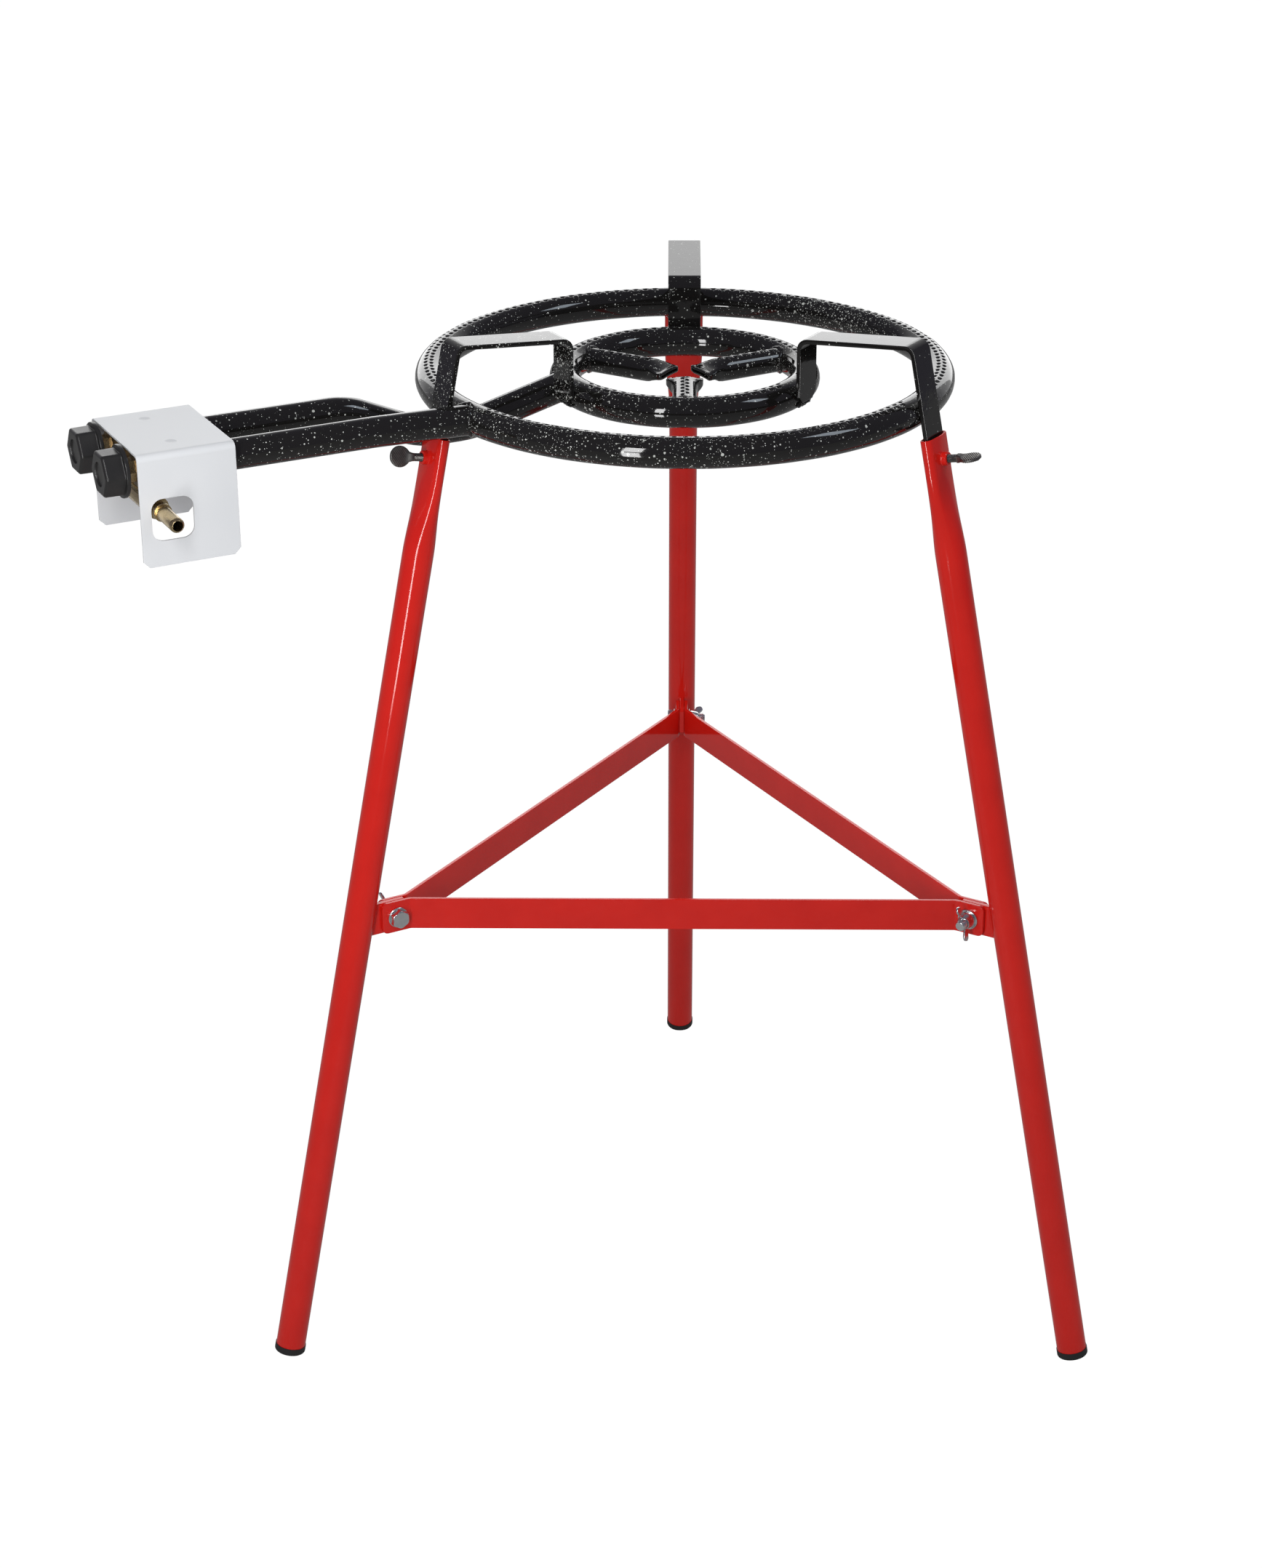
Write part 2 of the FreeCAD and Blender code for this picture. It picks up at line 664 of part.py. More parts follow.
def make_brace():
    """Three strips that tie the lugs together, with the bolts and washers."""
    reach = strip_end_radius
    azimuths = sorted(leg_azimuths.values())
    names = ("right", "left", "front")
    starts = dict(zip(names, (leg_azimuths["right"], leg_azimuths["rear"], leg_azimuths["left"])))
    hole = rod(strip_hole_diameter, 4 * tab_offset, Vector(brace_bolt_radius, -2 * tab_offset, 0), SIDE)
    for name, start in starts.items():
        span = 360 / len(azimuths)
        near = [Vector(reach, tab_offset, 0), Vector(strip_bend_at, tab_offset, 0)]
        far = [turned_vector(Vector(p.x, -p.y, 0), span) for p in reversed(near)]
        route = [(p.x, p.y) for p in near + far]
        strip = folded_bar(route, strip_bend_radius, strip_thickness, strip_width)
        cutters = [hole, turned(hole, span)]
        for sign in (-1, 1):
            corner = Vector(reach, 0, sign * strip_width / 2)
            wedge = corner_cutter(corner, -OUT, UP * -sign, strip_corner, SIDE, 4 * tab_offset)
            cutters += [wedge, turned(wedge, span)]
        strip = strip.cut(cutters)
        strip.translate(UP * brace_height)
        save(f"brace_strip_{name}", turned(strip, start))
    bolts, washers = [], []
    for azimuth in azimuths:
        bolts.append(turned(brace_bolt(), azimuth))
        washers += [turned(brace_washer(sign), azimuth) for sign in (-1, 1)]
    save("brace_bolts", *bolts)
    save("brace_washers", *washers)


def brace_bolt():
    """A hexagon bolt along -Y through a lug, with its head on the +Y side."""
    centre = Vector(brace_bolt_radius, 0, brace_height)
    head_face = tab_face + washer_thickness
    head = hexagon(bolt_head_flats, bolt_head_height, centre + SIDE * head_face, SIDE, UP)
    dome_diameter = bolt_head_flats / math.cos(math.pi / 6)
    dome = cone(dome_diameter + bolt_head_height, dome_diameter - 2 * bolt_chamfer,
                bolt_head_height, centre + SIDE * head_face, SIDE)
    shank_length = head_face + bolt_reach - bolt_chamfer
    shank = rod(bolt_diameter, shank_length, centre + SIDE * head_face, -SIDE)
    tip = cone(bolt_diameter, bolt_diameter - 2 * bolt_chamfer, bolt_chamfer,
               centre - SIDE * (bolt_reach - bolt_chamfer), -SIDE)
    return head.common(dome).fuse([shank, tip]).removeSplitter()


def brace_washer(sign):
    start = Vector(brace_bolt_radius, sign * tab_face, brace_height)
    washer = rod(washer_diameter, washer_thickness, start, SIDE * sign)
    return washer.cut(rod(bolt_diameter, washer_thickness, start, SIDE * sign))


def touching_point(start, centre, radius, side):
    """Where a line from a point touches a circle in XZ, on the circle's low or high side."""
    reach = centre - start
    angle = math.atan2(reach.z, reach.x) + side * math.asin(radius / reach.Length)
    length = math.sqrt(reach.Length ** 2 - radius ** 2)
    return start + Vector(math.cos(angle), 0, math.sin(angle)) * length


def make_wing_nuts():
    """Pressed wing nuts on the bolts' free ends."""
    barrel = cone(nut_base_diameter, nut_top_diameter, nut_height, Vector(0, 0, 0), UP)
    root = nut_top_diameter / 2 - over
    lobe = Vector(nut_lobe_at, 0, nut_lobe_height)
    lobe_radius = nut_lobe_diameter / 2
    low_root = Vector(root, 0, nut_wing_low)
    high_root = Vector(root, 0, nut_wing_shoulder)
    low_touch = touching_point(low_root, lobe, lobe_radius, -1)
    high_touch = touching_point(high_root, lobe, lobe_radius, 1)
    rim = lobe + (lobe - (low_root + high_root) / 2).normalize() * lobe_radius
    outline = [Part.LineSegment(low_root, low_touch), Part.Arc(low_touch, rim, high_touch)]
    outline += [Part.LineSegment(high_touch, high_root), Part.LineSegment(high_root, low_root)]
    wing = Part.Face(Part.Wire([piece.toShape() for piece in outline])).extrude(SIDE * nut_wing_thickness)
    wing.translate(SIDE * (-nut_wing_thickness / 2))
    nut = barrel.fuse([wing, wing.rotated(Vector(0, 0, 0), UP, 180)])
    bore = bolt_diameter + 2 * bolt_clearance
    nut = nut.cut(rod(bore, 2 * nut_height, Vector(0, 0, 0), UP)).removeSplitter()
    seat = tab_face + washer_thickness
    for name, azimuth in leg_azimuths.items():
        turned_nut = nut.rotated(Vector(0, 0, 0), UP, nut_phases[name])
        turned_nut.rotate(Vector(0, 0, 0), OUT, 90)
        turned_nut.translate(Vector(brace_bolt_radius, -seat, brace_height))
        save(f"wing_nut_{name}", turned(turned_nut, azimuth))


def make_feed_tubes():
    rings = {"outer": ring_solid(outer_ring_radius, ring_tube_radius, ring_level),
             "inner": ring_solid(inner_ring_radius, ring_tube_radius, inner_ring_level)}
    for kind, side in feed_sides.items():
        route = feed_route(kind)
        bore = feed_tube_diameter - 2 * tube_wall
        air = rod(air_hole_diameter, feed_tube_diameter + 2 * over,
                  Vector(feed_mouth + air_hole_at, side - feed_radius - over, feed_level), SIDE)
        tube = tube_along(route, feed_tube_diameter).cut(tube_along(route, bore)).cut(air)
        tube = placed(tube, feed_frame).cut(rings[kind])
        tube = max(tube.Solids, key=lambda solid: solid.Volume)
        save(f"{kind}_feed_tube", tube)


def make_cover():
    """A folded sheet over the valves, with posts that stand it on the feed tubes."""
    half = cover_width / 2 - cover_sheet / 2
    top = cover_top - cover_sheet / 2
    corners = [(-half, cover_bottom), (-half, top), (half, top), (half, cover_bottom)]
    cover = folded_bar(corners, cover_bend_radius, cover_sheet, cover_length)
    cover = standing(cover, SIDE, UP)
    middle = cover_near + cover_length / 2
    cover.translate(Vector(middle, cover_centre_side, 0))
    cutters = []
    for sign in (-1, 1):
        corner = Vector(middle + sign * cover_length / 2, cover_centre_side, cover_bottom)
        cutters.append(corner_cutter(corner, OUT * -sign, UP, cover_corner, SIDE, 2 * cover_width))
    half_window = window_size / 2
    front = cover_centre_side + cover_width / 2
    window = block((window_at - half_window, window_at + half_window),
                   (front - 2 * cover_sheet, front + over),
                   (window_level - half_window, window_level + half_window))
    cutters.append(window.makeFillet(window_corner, long_edges(window, SIDE)))
    dimples = [cone(dimple_diameter, dimple_diameter / 2, dimple_depth,
                    Vector(post_at, side, cover_top), -UP) for side in feed_sides.values()]
    save("valve_cover", placed(cover.cut(cutters + dimples), mouth_frame))
    posts = []
    for side in feed_sides.values():
        foot = Vector(post_at, side, feed_level)
        post = rod(post_diameter, cover_top - cover_sheet - feed_level, foot, UP)
        post = post.cut(rod(feed_tube_diameter, 2 * post_diameter, foot - OUT * post_diameter, OUT))
        posts.append(placed(post, mouth_frame))
    save("cover_posts", *posts)


def make_valves():
    """The two taps in the feed tubes' mouths, with injectors, plugs, glands and stems."""
    socket_flats = stem_diameter / 2 - stem_flat
    for kind, side in feed_sides.items():
        axis = Vector(0, side, feed_level)

        def along(x):
            return axis + OUT * x

        def save_here(name, shape):
            save(f"{kind}_{name}", placed(shape, mouth_frame))

        plug_start = along(-mixer_plug_length)
        plug = rod(feed_tube_diameter - 2 * tube_wall, mixer_plug_length, plug_start, OUT)
        save_here("mixer_plug", plug.cut(rod(nipple_diameter, mixer_plug_length, plug_start, OUT)))

        nipple = rod(nipple_diameter, barrel_start - nipple_start, along(nipple_start), OUT)
        barrel = rod(barrel_diameter, barrel_end - barrel_start, along(barrel_start), OUT)
        barrel = barrel.makeChamfer(barrel_edge, round_edges(barrel))
        drop = feed_level - manifold_level
        leg = rod(valve_leg_diameter, drop, along(valve_leg_at), -UP)
        manifold_line = Vector(valve_leg_at, side - manifold_diameter, manifold_level)
        manifold = rod(manifold_diameter, 2 * manifold_diameter, manifold_line, SIDE)
        taper = cone(tap_near_diameter + 2 * tap_clearance, tap_far_diameter + 2 * tap_clearance,
                     tap_far - tap_near, along(tap_near), OUT)
        end_gap = rod(tap_near_diameter + 2 * tap_clearance, tap_clearance, along(tap_near), -OUT)
        mouth = rod(tap_far_diameter + 2 * tap_clearance, barrel_end - tap_far, along(tap_far), OUT)
        counterbore = rod(gland_spigot_diameter, gland_spigot_length, along(barrel_end), -OUT)
        passage = rod(gas_bore, tap_near - nipple_start, along(nipple_start), OUT)
        thread = rod(injector_thread_diameter, injector_thread_length, along(nipple_start), OUT)
        leg_passage = rod(leg_bore, drop, along(valve_leg_at), -UP)
        body = barrel.fuse([nipple, leg])
        body = body.cut([manifold, taper, end_gap, mouth, counterbore, passage, thread, leg_passage])
        save_here("valve_body", max(body.Solids, key=lambda solid: solid.Volume))

        injector = hexagon(injector_flats, injector_hex_length, along(nipple_start), -OUT, UP)
        nose_start = nipple_start - injector_hex_length
        nose = cone(injector_flats, injector_flats / 2, injector_nose_length, along(nose_start), -OUT)
        spigot = rod(injector_thread_diameter, injector_thread_length, along(nipple_start), OUT)
        nose_end = nose_start - injector_nose_length
        jet = rod(injector_orifice, injector_flats * 2, along(nose_end - over), OUT)
        feed_in = rod(injector_thread_diameter / 2, injector_thread_length, along(nipple_start), OUT)
        save_here("injector", injector.fuse([nose, spigot]).cut([jet, feed_in]))

        tap = cone(tap_near_diameter, tap_far_diameter, tap_far - tap_near, along(tap_near), OUT)
        axial = rod(tap_port_diameter, valve_leg_at - tap_near, along(tap_near), OUT)
        radial = rod(tap_port_diameter, tap_far_diameter, along(valve_leg_at), UP)
        socket_start = stem_start - knob_push - stem_end_gap
        stem_bore = stem_diameter + 2 * stem_clearance
        socket = d_shaft(stem_bore, socket_flats + stem_clearance, along(socket_start),
                         tap_far + over - socket_start)
        save_here("tap_plug", tap.cut([axial, radial, socket]))

        gland = hexagon(gland_flats, gland_end - barrel_end, along(barrel_end), OUT, SIDE)
        gland_spigot = rod(gland_spigot_diameter, gland_spigot_length, along(barrel_end), -OUT)
        stem_hole = rod(stem_bore, gland_end - tap_near + over, along(tap_near), OUT)
        save_here("gland_nut", gland.fuse(gland_spigot).cut(stem_hole))

        stem = d_shaft(stem_diameter, socket_flats, along(stem_start), stem_end - stem_start)
        save_here("stem", stem)
        save_here("knob", knob().translated(axis).cut(stem))


def d_shaft(diameter, flat_distance, start, length):
    """A round shaft along X with one flat on its right side."""
    shaft = rod(diameter, length, start, OUT)
    low = start + Vector(-over, flat_distance, -diameter)
    flat = Part.makeBox(length + 2 * over, diameter, 2 * diameter, low)
    return shaft.cut(flat)


def knob():
    """A round skirt with a six-sided grip, flat at the top and the bottom, along X."""
    base = OUT * knob_base
    skirt = rod(knob_skirt_diameter, knob_skirt_length, base, OUT)
    skirt = skirt.makeFillet(knob_skirt_length / 4, round_edges(skirt))
    grip = hexagon(knob_flats, knob_length, base, OUT, SIDE)
    grip = grip.makeFillet(knob_side_radius, long_edges(grip, OUT))
    face_x = knob_base + knob_length
    front = [e for e in grip.Edges if e.BoundBox.XMin > face_x - over]
    grip = grip.makeFillet(knob_edge_radius, front)
    cavity = rod(knob_cavity_diameter, knob_cavity_depth, base, OUT)
    recess = rod(knob_recess_diameter, knob_recess_depth, OUT * face_x, -OUT)
    return grip.fuse(skirt).cut([cavity, recess]).removeSplitter()


def make_manifold():
    """The tube that shares the gas between the taps, its end plug and the hose barb."""
    line = Vector(valve_leg_at, manifold_left, manifold_level)
    length = manifold_right - manifold_left
    tube = rod(manifold_diameter, length, line, SIDE).cut(rod(manifold_bore, length, line, SIDE))
    for side in feed_sides.values():
        tube = tube.cut(rod(leg_bore, manifold_diameter, Vector(valve_leg_at, side, manifold_level), UP))
    save("gas_manifold", placed(tube, mouth_frame))

    plug = rod(manifold_bore, end_plug_length, line, SIDE)
    plug = plug.fuse(rod(manifold_diameter, end_plug_head, line, -SIDE))
    save("manifold_plug", placed(plug, mouth_frame))

    mouth = Vector(valve_leg_at, manifold_right, manifold_level)
    spigot = rod(manifold_bore, barb_spigot_length, mouth - SIDE * barb_spigot_length, SIDE)
    base = rod(barb_base_diameter, barb_base_length, mouth, SIDE)
    collar_start = mouth + SIDE * barb_base_length
    collar = rod(barb_collar_diameter, barb_collar_length, collar_start, SIDE)
    tail_start = collar_start + SIDE * barb_collar_length
    tail = rod(barb_tail_diameter, barb_tail_length, tail_start, SIDE)
    tip = [e for e in tail.Edges if e.BoundBox.YMin > tail_start.y + barb_tail_length - over]
    tail = tail.makeChamfer(barb_tail_chamfer, tip)
    total = barb_spigot_length + barb_base_length + barb_collar_length + barb_tail_length
    bore = rod(barb_bore, total, mouth - SIDE * barb_spigot_length, SIDE)
    barb = spigot.fuse([base, collar, tail]).cut(bore)
    save("hose_barb", placed(barb, mouth_frame))


os.makedirs("parts", exist_ok=True)
make_rings()
make_stubs()
make_supports()
make_legs()
make_brace()
make_wing_nuts()
make_feed_tubes()
make_cover()
make_valves()
make_manifold()
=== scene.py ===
# %% [markdown]
# A two-ring gas burner for wide pans, standing on three red legs. The frame is the measured model:
# every solid of it is already in place. Here it gets its looks. Pieces whose shape is right keep their
# solid and only get a finish, and the others are drawn again with the small forms that catch light.

import math

import bmesh
import bpy
from mathutils import Matrix, Vector, noise


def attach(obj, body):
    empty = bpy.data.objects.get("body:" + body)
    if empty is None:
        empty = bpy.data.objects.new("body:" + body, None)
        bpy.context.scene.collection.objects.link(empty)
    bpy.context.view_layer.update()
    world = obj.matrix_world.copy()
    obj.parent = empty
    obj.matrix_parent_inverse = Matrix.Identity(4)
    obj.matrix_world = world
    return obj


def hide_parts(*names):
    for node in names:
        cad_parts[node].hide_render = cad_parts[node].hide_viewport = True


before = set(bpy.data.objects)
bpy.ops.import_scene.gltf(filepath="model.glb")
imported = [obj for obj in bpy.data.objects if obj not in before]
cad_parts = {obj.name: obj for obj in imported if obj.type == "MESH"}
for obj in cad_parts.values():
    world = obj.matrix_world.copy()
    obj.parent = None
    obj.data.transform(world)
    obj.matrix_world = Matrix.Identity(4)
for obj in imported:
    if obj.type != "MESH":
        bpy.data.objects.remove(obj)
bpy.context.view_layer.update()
scene = bpy.context.scene
collection = scene.collection
MM = 0.001

# %% [markdown]
# Three sets of axes make the drawing simple. A leg is drawn upright and then leaned and turned round
# the stand. The gas side is drawn along its two straight tubes. Everything is drawn in millimetres, and
# the last helper, piece, turns it into metres. Where a size can be read off the model, it is.

# %% Axes of the legs and of the gas side
UP = Vector((0, 0, 1))
leg_azimuths = {"rear": 90, "left": 210, "right": 330}
stub_azimuths = {"front": 270, "left": 150, "right": 30}
feed_azimuth = 207.5
leg_splay = math.radians(11.74)
support_thickness, support_width = 3.5, 25.0
weld_bite = 0.5


def turn(degrees, axis="Z"):
    return Matrix.Rotation(math.radians(degrees), 4, axis)


def shift(x, y, z):
    return Matrix.Translation((x, y, z))


def box_in(axes, node):
    """A node's lowest and highest corners along other axes, in millimetres."""
    back = axes.inverted()
    points = [back @ (v.co / MM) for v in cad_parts[node].data.vertices]
    low = Vector([min(p[i] for p in points) for i in range(3)])
    high = Vector([max(p[i] for p in points) for i in range(3)])
    return low, high


def ring_sizes(node):
    """Centre line radius, tube radius and level of a ring."""
    low, high = box_in(Matrix(), node)
    tube = (high.z - low.z) / 2
    return high.x - tube, tube, low.z + tube


outer_radius, tube_radius, ring_level = ring_sizes("outer_ring")
inner_radius, _, inner_level = ring_sizes("inner_ring")
bar_off = tube_radius + support_thickness / 2 - weld_bite
leg_floor_radius = outer_radius + bar_off / math.cos(leg_splay) + ring_level * math.tan(leg_splay)
leg_axes = shift(leg_floor_radius, 0, 0) @ Matrix.Rotation(-leg_splay, 4, "Y")
feed_axes = shift(0, 0, ring_level) @ turn(feed_azimuth)
print("rings", round(outer_radius, 2), round(inner_radius, 2))
print("legs reach the floor at", round(leg_floor_radius, 1))

# %% [markdown]
# Nearly all of this object is bent tube, bent bar and turned brass, so one idea draws most of it: a row
# of outlines joined by a skin. A helper makes the skin, others make the outlines, and each outline is
# given slightly rounded corners, because an edge with no width never catches the light.


# %% Skins over rows of outlines
def loft(sections, loop=False):
    """A skin over outlines of as many points each, closed at both ends unless it is a loop."""
    count, rows = len(sections[0]), len(sections)
    points = [Vector(p) for section in sections for p in section]
    faces = []
    for i in range(rows if loop else rows - 1):
        here, there = i * count, (i + 1) % rows * count
        for j in range(count):
            k = (j + 1) % count
            faces.append((here + j, here + k, there + k, there + j))
    if not loop:
        faces.append(tuple(reversed(range(count))))
        faces.append(tuple(range((rows - 1) * count, rows * count)))
    return points, faces


def joined(*parts):
    """Several skins as one."""
    points, faces = [], []
    for part_points, part_faces in parts:
        start = len(points)
        points += part_points
        faces += [tuple(start + i for i in face) for face in part_faces]
    return points, faces


def moved(part, place):
    return [place @ Vector(p) for p in part[0]], part[1]


def ring_of(level, reach, count):
    """An outline about Z at a level; reach is a radius, or a function of the angle."""
    ways = [math.tau * k / count for k in range(count)]
    size = reach if callable(reach) else lambda way: reach
    return [(size(way) * math.cos(way), size(way) * math.sin(way), level) for way in ways]


def lathe(outline, count=48, loop=False):
    """A turned form about Z from pairs of a level and a reach."""
    return loft([ring_of(level, reach, count) for level, reach in outline], loop)


# %% Flat bar and tube along a bent route
def route(corners, bends, steps=8):
    """Places and directions along straight runs joined by arcs, in XY."""
    corners = [Vector(c) for c in corners]
    stops = [(corners[0], (corners[1] - corners[0]).normalized())]
    for before, corner, after, bend in zip(corners, corners[1:], corners[2:], bends):
        into = (corner - before).normalized()
        out = (after - corner).normalized()
        angle = math.atan2(into.cross(out), into.dot(out))
        reach = bend * math.tan(abs(angle) / 2)
        hub = corner - into * reach + Vector((-into.y, into.x)) * math.copysign(bend, angle)
        for k in range(steps + 1):
            way = Matrix.Rotation(angle * k / steps, 2) @ into
            stops.append((hub - Vector((-way.y, way.x)) * math.copysign(bend, angle), way))
    stops.append((corners[-1], (corners[-1] - corners[-2]).normalized()))
    return stops


def sweep(stops, outline_at):
    """A skin along route stops; outline_at(k) gives points (across the route, along Z)."""
    sections = []
    for k, (place, way) in enumerate(stops):
        side = Vector((-way.y, way.x))
        sections.append([(*(place + side * a), b) for a, b in outline_at(k)])
    return loft(sections)


def bar_outline(half_thickness, half_width, edge, steps=2):
    """The section of a flat bar with eased edges."""
    outline = []
    for sign_a, sign_b, start in ((1, 1, 0), (-1, 1, 90), (-1, -1, 180), (1, -1, 270)):
        for k in range(steps + 1):
            angle = math.radians(start + 90 * k / steps)
            outline.append((sign_a * (half_thickness - edge) + edge * math.cos(angle),
                            sign_b * (half_width - edge) + edge * math.sin(angle)))
    return outline


end_steps = (0, 0.08, 0.2, 0.4, 0.65, 1)


def bar(corners, bends, thickness, width, edge, end_corners, rounded):
    """A bent flat bar, its ends eased and their corners taken off, round or straight."""
    stops = route(corners, bends)
    ends = []
    for corner, (place, way), sign in zip(end_corners, (stops[0], stops[-1]), (1, -1)):
        rows = []
        for share in end_steps:
            run = corner * share
            cut = corner - (math.sqrt(corner ** 2 - (corner - run) ** 2) if rounded else run)
            inset = edge - math.sqrt(edge ** 2 - max(edge - run, 0) ** 2)
            rows.append(((place + way * run * sign, way), cut, inset))
        ends.append(rows)
    line = ends[0] + [(stop, 0, 0) for stop in stops[1:-1]] + ends[1][::-1]

    def outline_at(k):
        _, cut, inset = line[k]
        return bar_outline(thickness / 2 - inset, width / 2 - max(cut, inset), edge * 0.95)

    return sweep([stop for stop, _, _ in line], outline_at)


# %% [markdown]
# Every drawn piece goes through one door. It makes the mesh, turns all faces outward, smooths the
# shading except across sharp angles, hides the solid that it stands for and hangs it on the body that it
# rides on.
# Some finishes need to know how thick the sprinkle of glaze is at a place, so a mesh can carry that too.

# %% From points to a piece
sharp_angle = 40
made = []


def mesh_of(name, part, scale=1):
    """A mesh with all its faces turned outward."""
    mesh = bpy.data.meshes.new(name)
    mesh.from_pydata([Vector(p) * scale for p in part[0]], [], part[1])
    skin = bmesh.new()
    skin.from_mesh(mesh)
    bmesh.ops.delete(skin, geom=[v for v in skin.verts if not v.link_faces], context="VERTS")
    bmesh.ops.recalc_face_normals(skin, faces=skin.faces)
    skin.to_mesh(mesh)
    skin.free()
    return mesh


def placed(name, data):
    """A new object in the scene."""
    thing = bpy.data.objects.new(name, data)
    collection.objects.link(thing)
    return thing


def piece(name, part, body, finish, replaces=(), sprinkle=None, weighted=True):
    """One mesh piece, drawn in millimetres, in place, with its finish."""
    mesh = mesh_of(name, part, MM)
    mesh.polygons.foreach_set("use_smooth", [True] * len(mesh.polygons))
    mesh.set_sharp_from_angle(angle=math.radians(sharp_angle))
    if sprinkle is not None:
        layer = mesh.attributes.new("sprinkle", "FLOAT", "POINT")
        layer.data.foreach_set("value", [sprinkle(v.co / MM) for v in mesh.vertices])
    mesh.materials.append(finish)
    thing = placed(name, mesh)
    if weighted:
        normals = thing.modifiers.new("calm flat faces", "WEIGHTED_NORMAL")
        normals.keep_sharp = True
    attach(thing, body)
    if replaces:
        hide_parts(*replaces)
    made.append(name)


# %% [markdown]
# Finishes are networks of nodes, and writing them node by node is hard to read. A small class wraps the
# output of a node, so that sums on it read like sums on numbers and each one adds its Math node.


# %% A value on which sums can be written
class Flow:
    def __init__(self, finish, socket):
        self.finish = finish
        self.socket = socket

    def math(self, operation, other, swapped=False, clamp=False):
        values = [other, self] if swapped else [self, other]
        return self.finish.node("ShaderNodeMath", {"operation": operation, "use_clamp": clamp}, values)

    def __add__(self, other):
        return self.math("ADD", other)

    def __sub__(self, other):
        return self.math("SUBTRACT", other)

    def __rsub__(self, other):
        return self.math("SUBTRACT", other, swapped=True)

    def __mul__(self, other):
        return self.math("MULTIPLY", other)

    __radd__ = __add__
    __rmul__ = __mul__

    def clamped(self):
        return self.math("ADD", 0.0, clamp=True)


class Network:
    """A tree of nodes under construction; node adds any node and gives one of its outputs."""

    def __init__(self, tree):
        self.tree = tree

    def node(self, kind, settings=None, values=(), output=0):
        node = self.tree.nodes.new(kind)
        for key, value in (settings or {}).items():
            if key == "stops":
                ramp = node.color_ramp
                elements = [*ramp.elements, *(ramp.elements.new(0.5) for _ in value[2:])]
                for element, (place, colour) in zip(elements, value):
                    element.position, element.color = place, colour
            else:
                setattr(node, key, value)
        for key, value in values.items() if isinstance(values, dict) else enumerate(values):
            self.feed(node.inputs[key], value)
        return Flow(self, node.outputs[output])

    def feed(self, socket, value):
        if isinstance(value, Flow):
            self.tree.links.new(value.socket, socket)
        else:
            socket.default_value = value

    def mix(self, share, first, second):
        """A colour between two, by a share."""
        return self.node("ShaderNodeMix", {"data_type": "RGBA"}, {0: share, 6: first, 7: second}, 2)

    def light_path(self, *kinds):
        """1 for rays of these kinds, such as Is Camera Ray."""
        total = 0.0
        for kind in kinds:
            total = self.node("ShaderNodeLightPath", output=kind) + total
        return total.clamped()


class Finish(Network):
    """A material whose shader is a Principled BSDF with a few constants of its own."""

    def __init__(self, name, **constants):
        self.material = bpy.data.materials.new(name)
        self.material.use_nodes = True
        super().__init__(self.material.node_tree)
        self.shader = self.tree.nodes["Principled BSDF"]
        self.surface(**constants)

    def surface(self, **flows):
        for socket, value in flows.items():
            self.feed(self.shader.inputs[socket.replace("_", " ")], value)
        return self.material

    def place(self):
        return self.node("ShaderNodeTexCoord", output="Object")

    def noise(self, per_metre, detail, where=None):
        values = {"Vector": where or self.place(), "Scale": per_metre, "Detail": detail}
        return self.node("ShaderNodeTexNoise", values=values)

    def bump(self, height, distance, strength):
        values = {"Height": height, "Distance": distance, "Strength": strength}
        return self.node("ShaderNodeBump", values=values)


# %% [markdown]
# The legs and the brace are powder coated in a warm signal red. Such a coat is glossy but not quite
# flat: it has a fine orange peel, and its colour is never perfectly even. Two noises, one broad and one
# fine, give both: the broad one shifts the colour and the gloss, the fine one only the height. Most
# finishes of this object can be told in the same few numbers, so one function makes them.


# %% Red powder coat
def coat(name, broad, colours, rough, relief, fine=None, **constants):
    """A finish of broad unevenness, with a fine height of its own if it has one.

    broad and fine are (per metre, detail), rough is (spread, least) and relief (depth, strength).
    """
    finish = Finish(name, **constants)
    cloud = finish.noise(*broad)
    height = finish.noise(*fine) if fine else cloud
    spread, least = rough
    return finish.surface(Base_Color=finish.mix(cloud, *colours), Roughness=cloud * spread + least,
                          Normal=finish.bump(height, *relief))


paint_red = coat("red_powder_coat", (35, 3), ((0.60, 0.010, 0.006, 1), (0.74, 0.017, 0.010, 1)),
                 (0.05, 0.07), (0.00004, 0.4), (900, 2), IOR=1.5)

# %% [markdown]
# The burner is coated in black glass enamel, sprinkled with light glaze while it is wet. The specks are
# round, from dust to over two millimetres, and lie thickest near the welds and on some of the bars.
# Points scattered in space, one to a cell, make them: a surface that cuts a small ball round such a
# point shows a round speck, and specks of all sizes come by themselves. The mesh says how thick the
# sprinkle is.

# %% Speckled black enamel
smallest_speck, choice_sharpness, edge_sharpness = 0.35, 40, 9


def specks(finish, where, cell, reach, thickness):
    """A mask of round specks, up to reach in millimetres, in as many of the cells as thickness says."""
    values = {"Vector": where, "Scale": 1 / (cell * MM)}
    near = finish.node("ShaderNodeTexVoronoi", values=values) * cell
    draw = finish.node("ShaderNodeTexVoronoi", values=values, output=1)
    pick = finish.node("ShaderNodeSeparateColor", values=[draw])
    spread = finish.node("ShaderNodeSeparateColor", values=[draw], output=1)
    there = ((thickness - pick) * choice_sharpness).clamped()
    size = there * (spread * (1 - smallest_speck) + smallest_speck) * reach
    return ((size - near) * edge_sharpness).clamped()


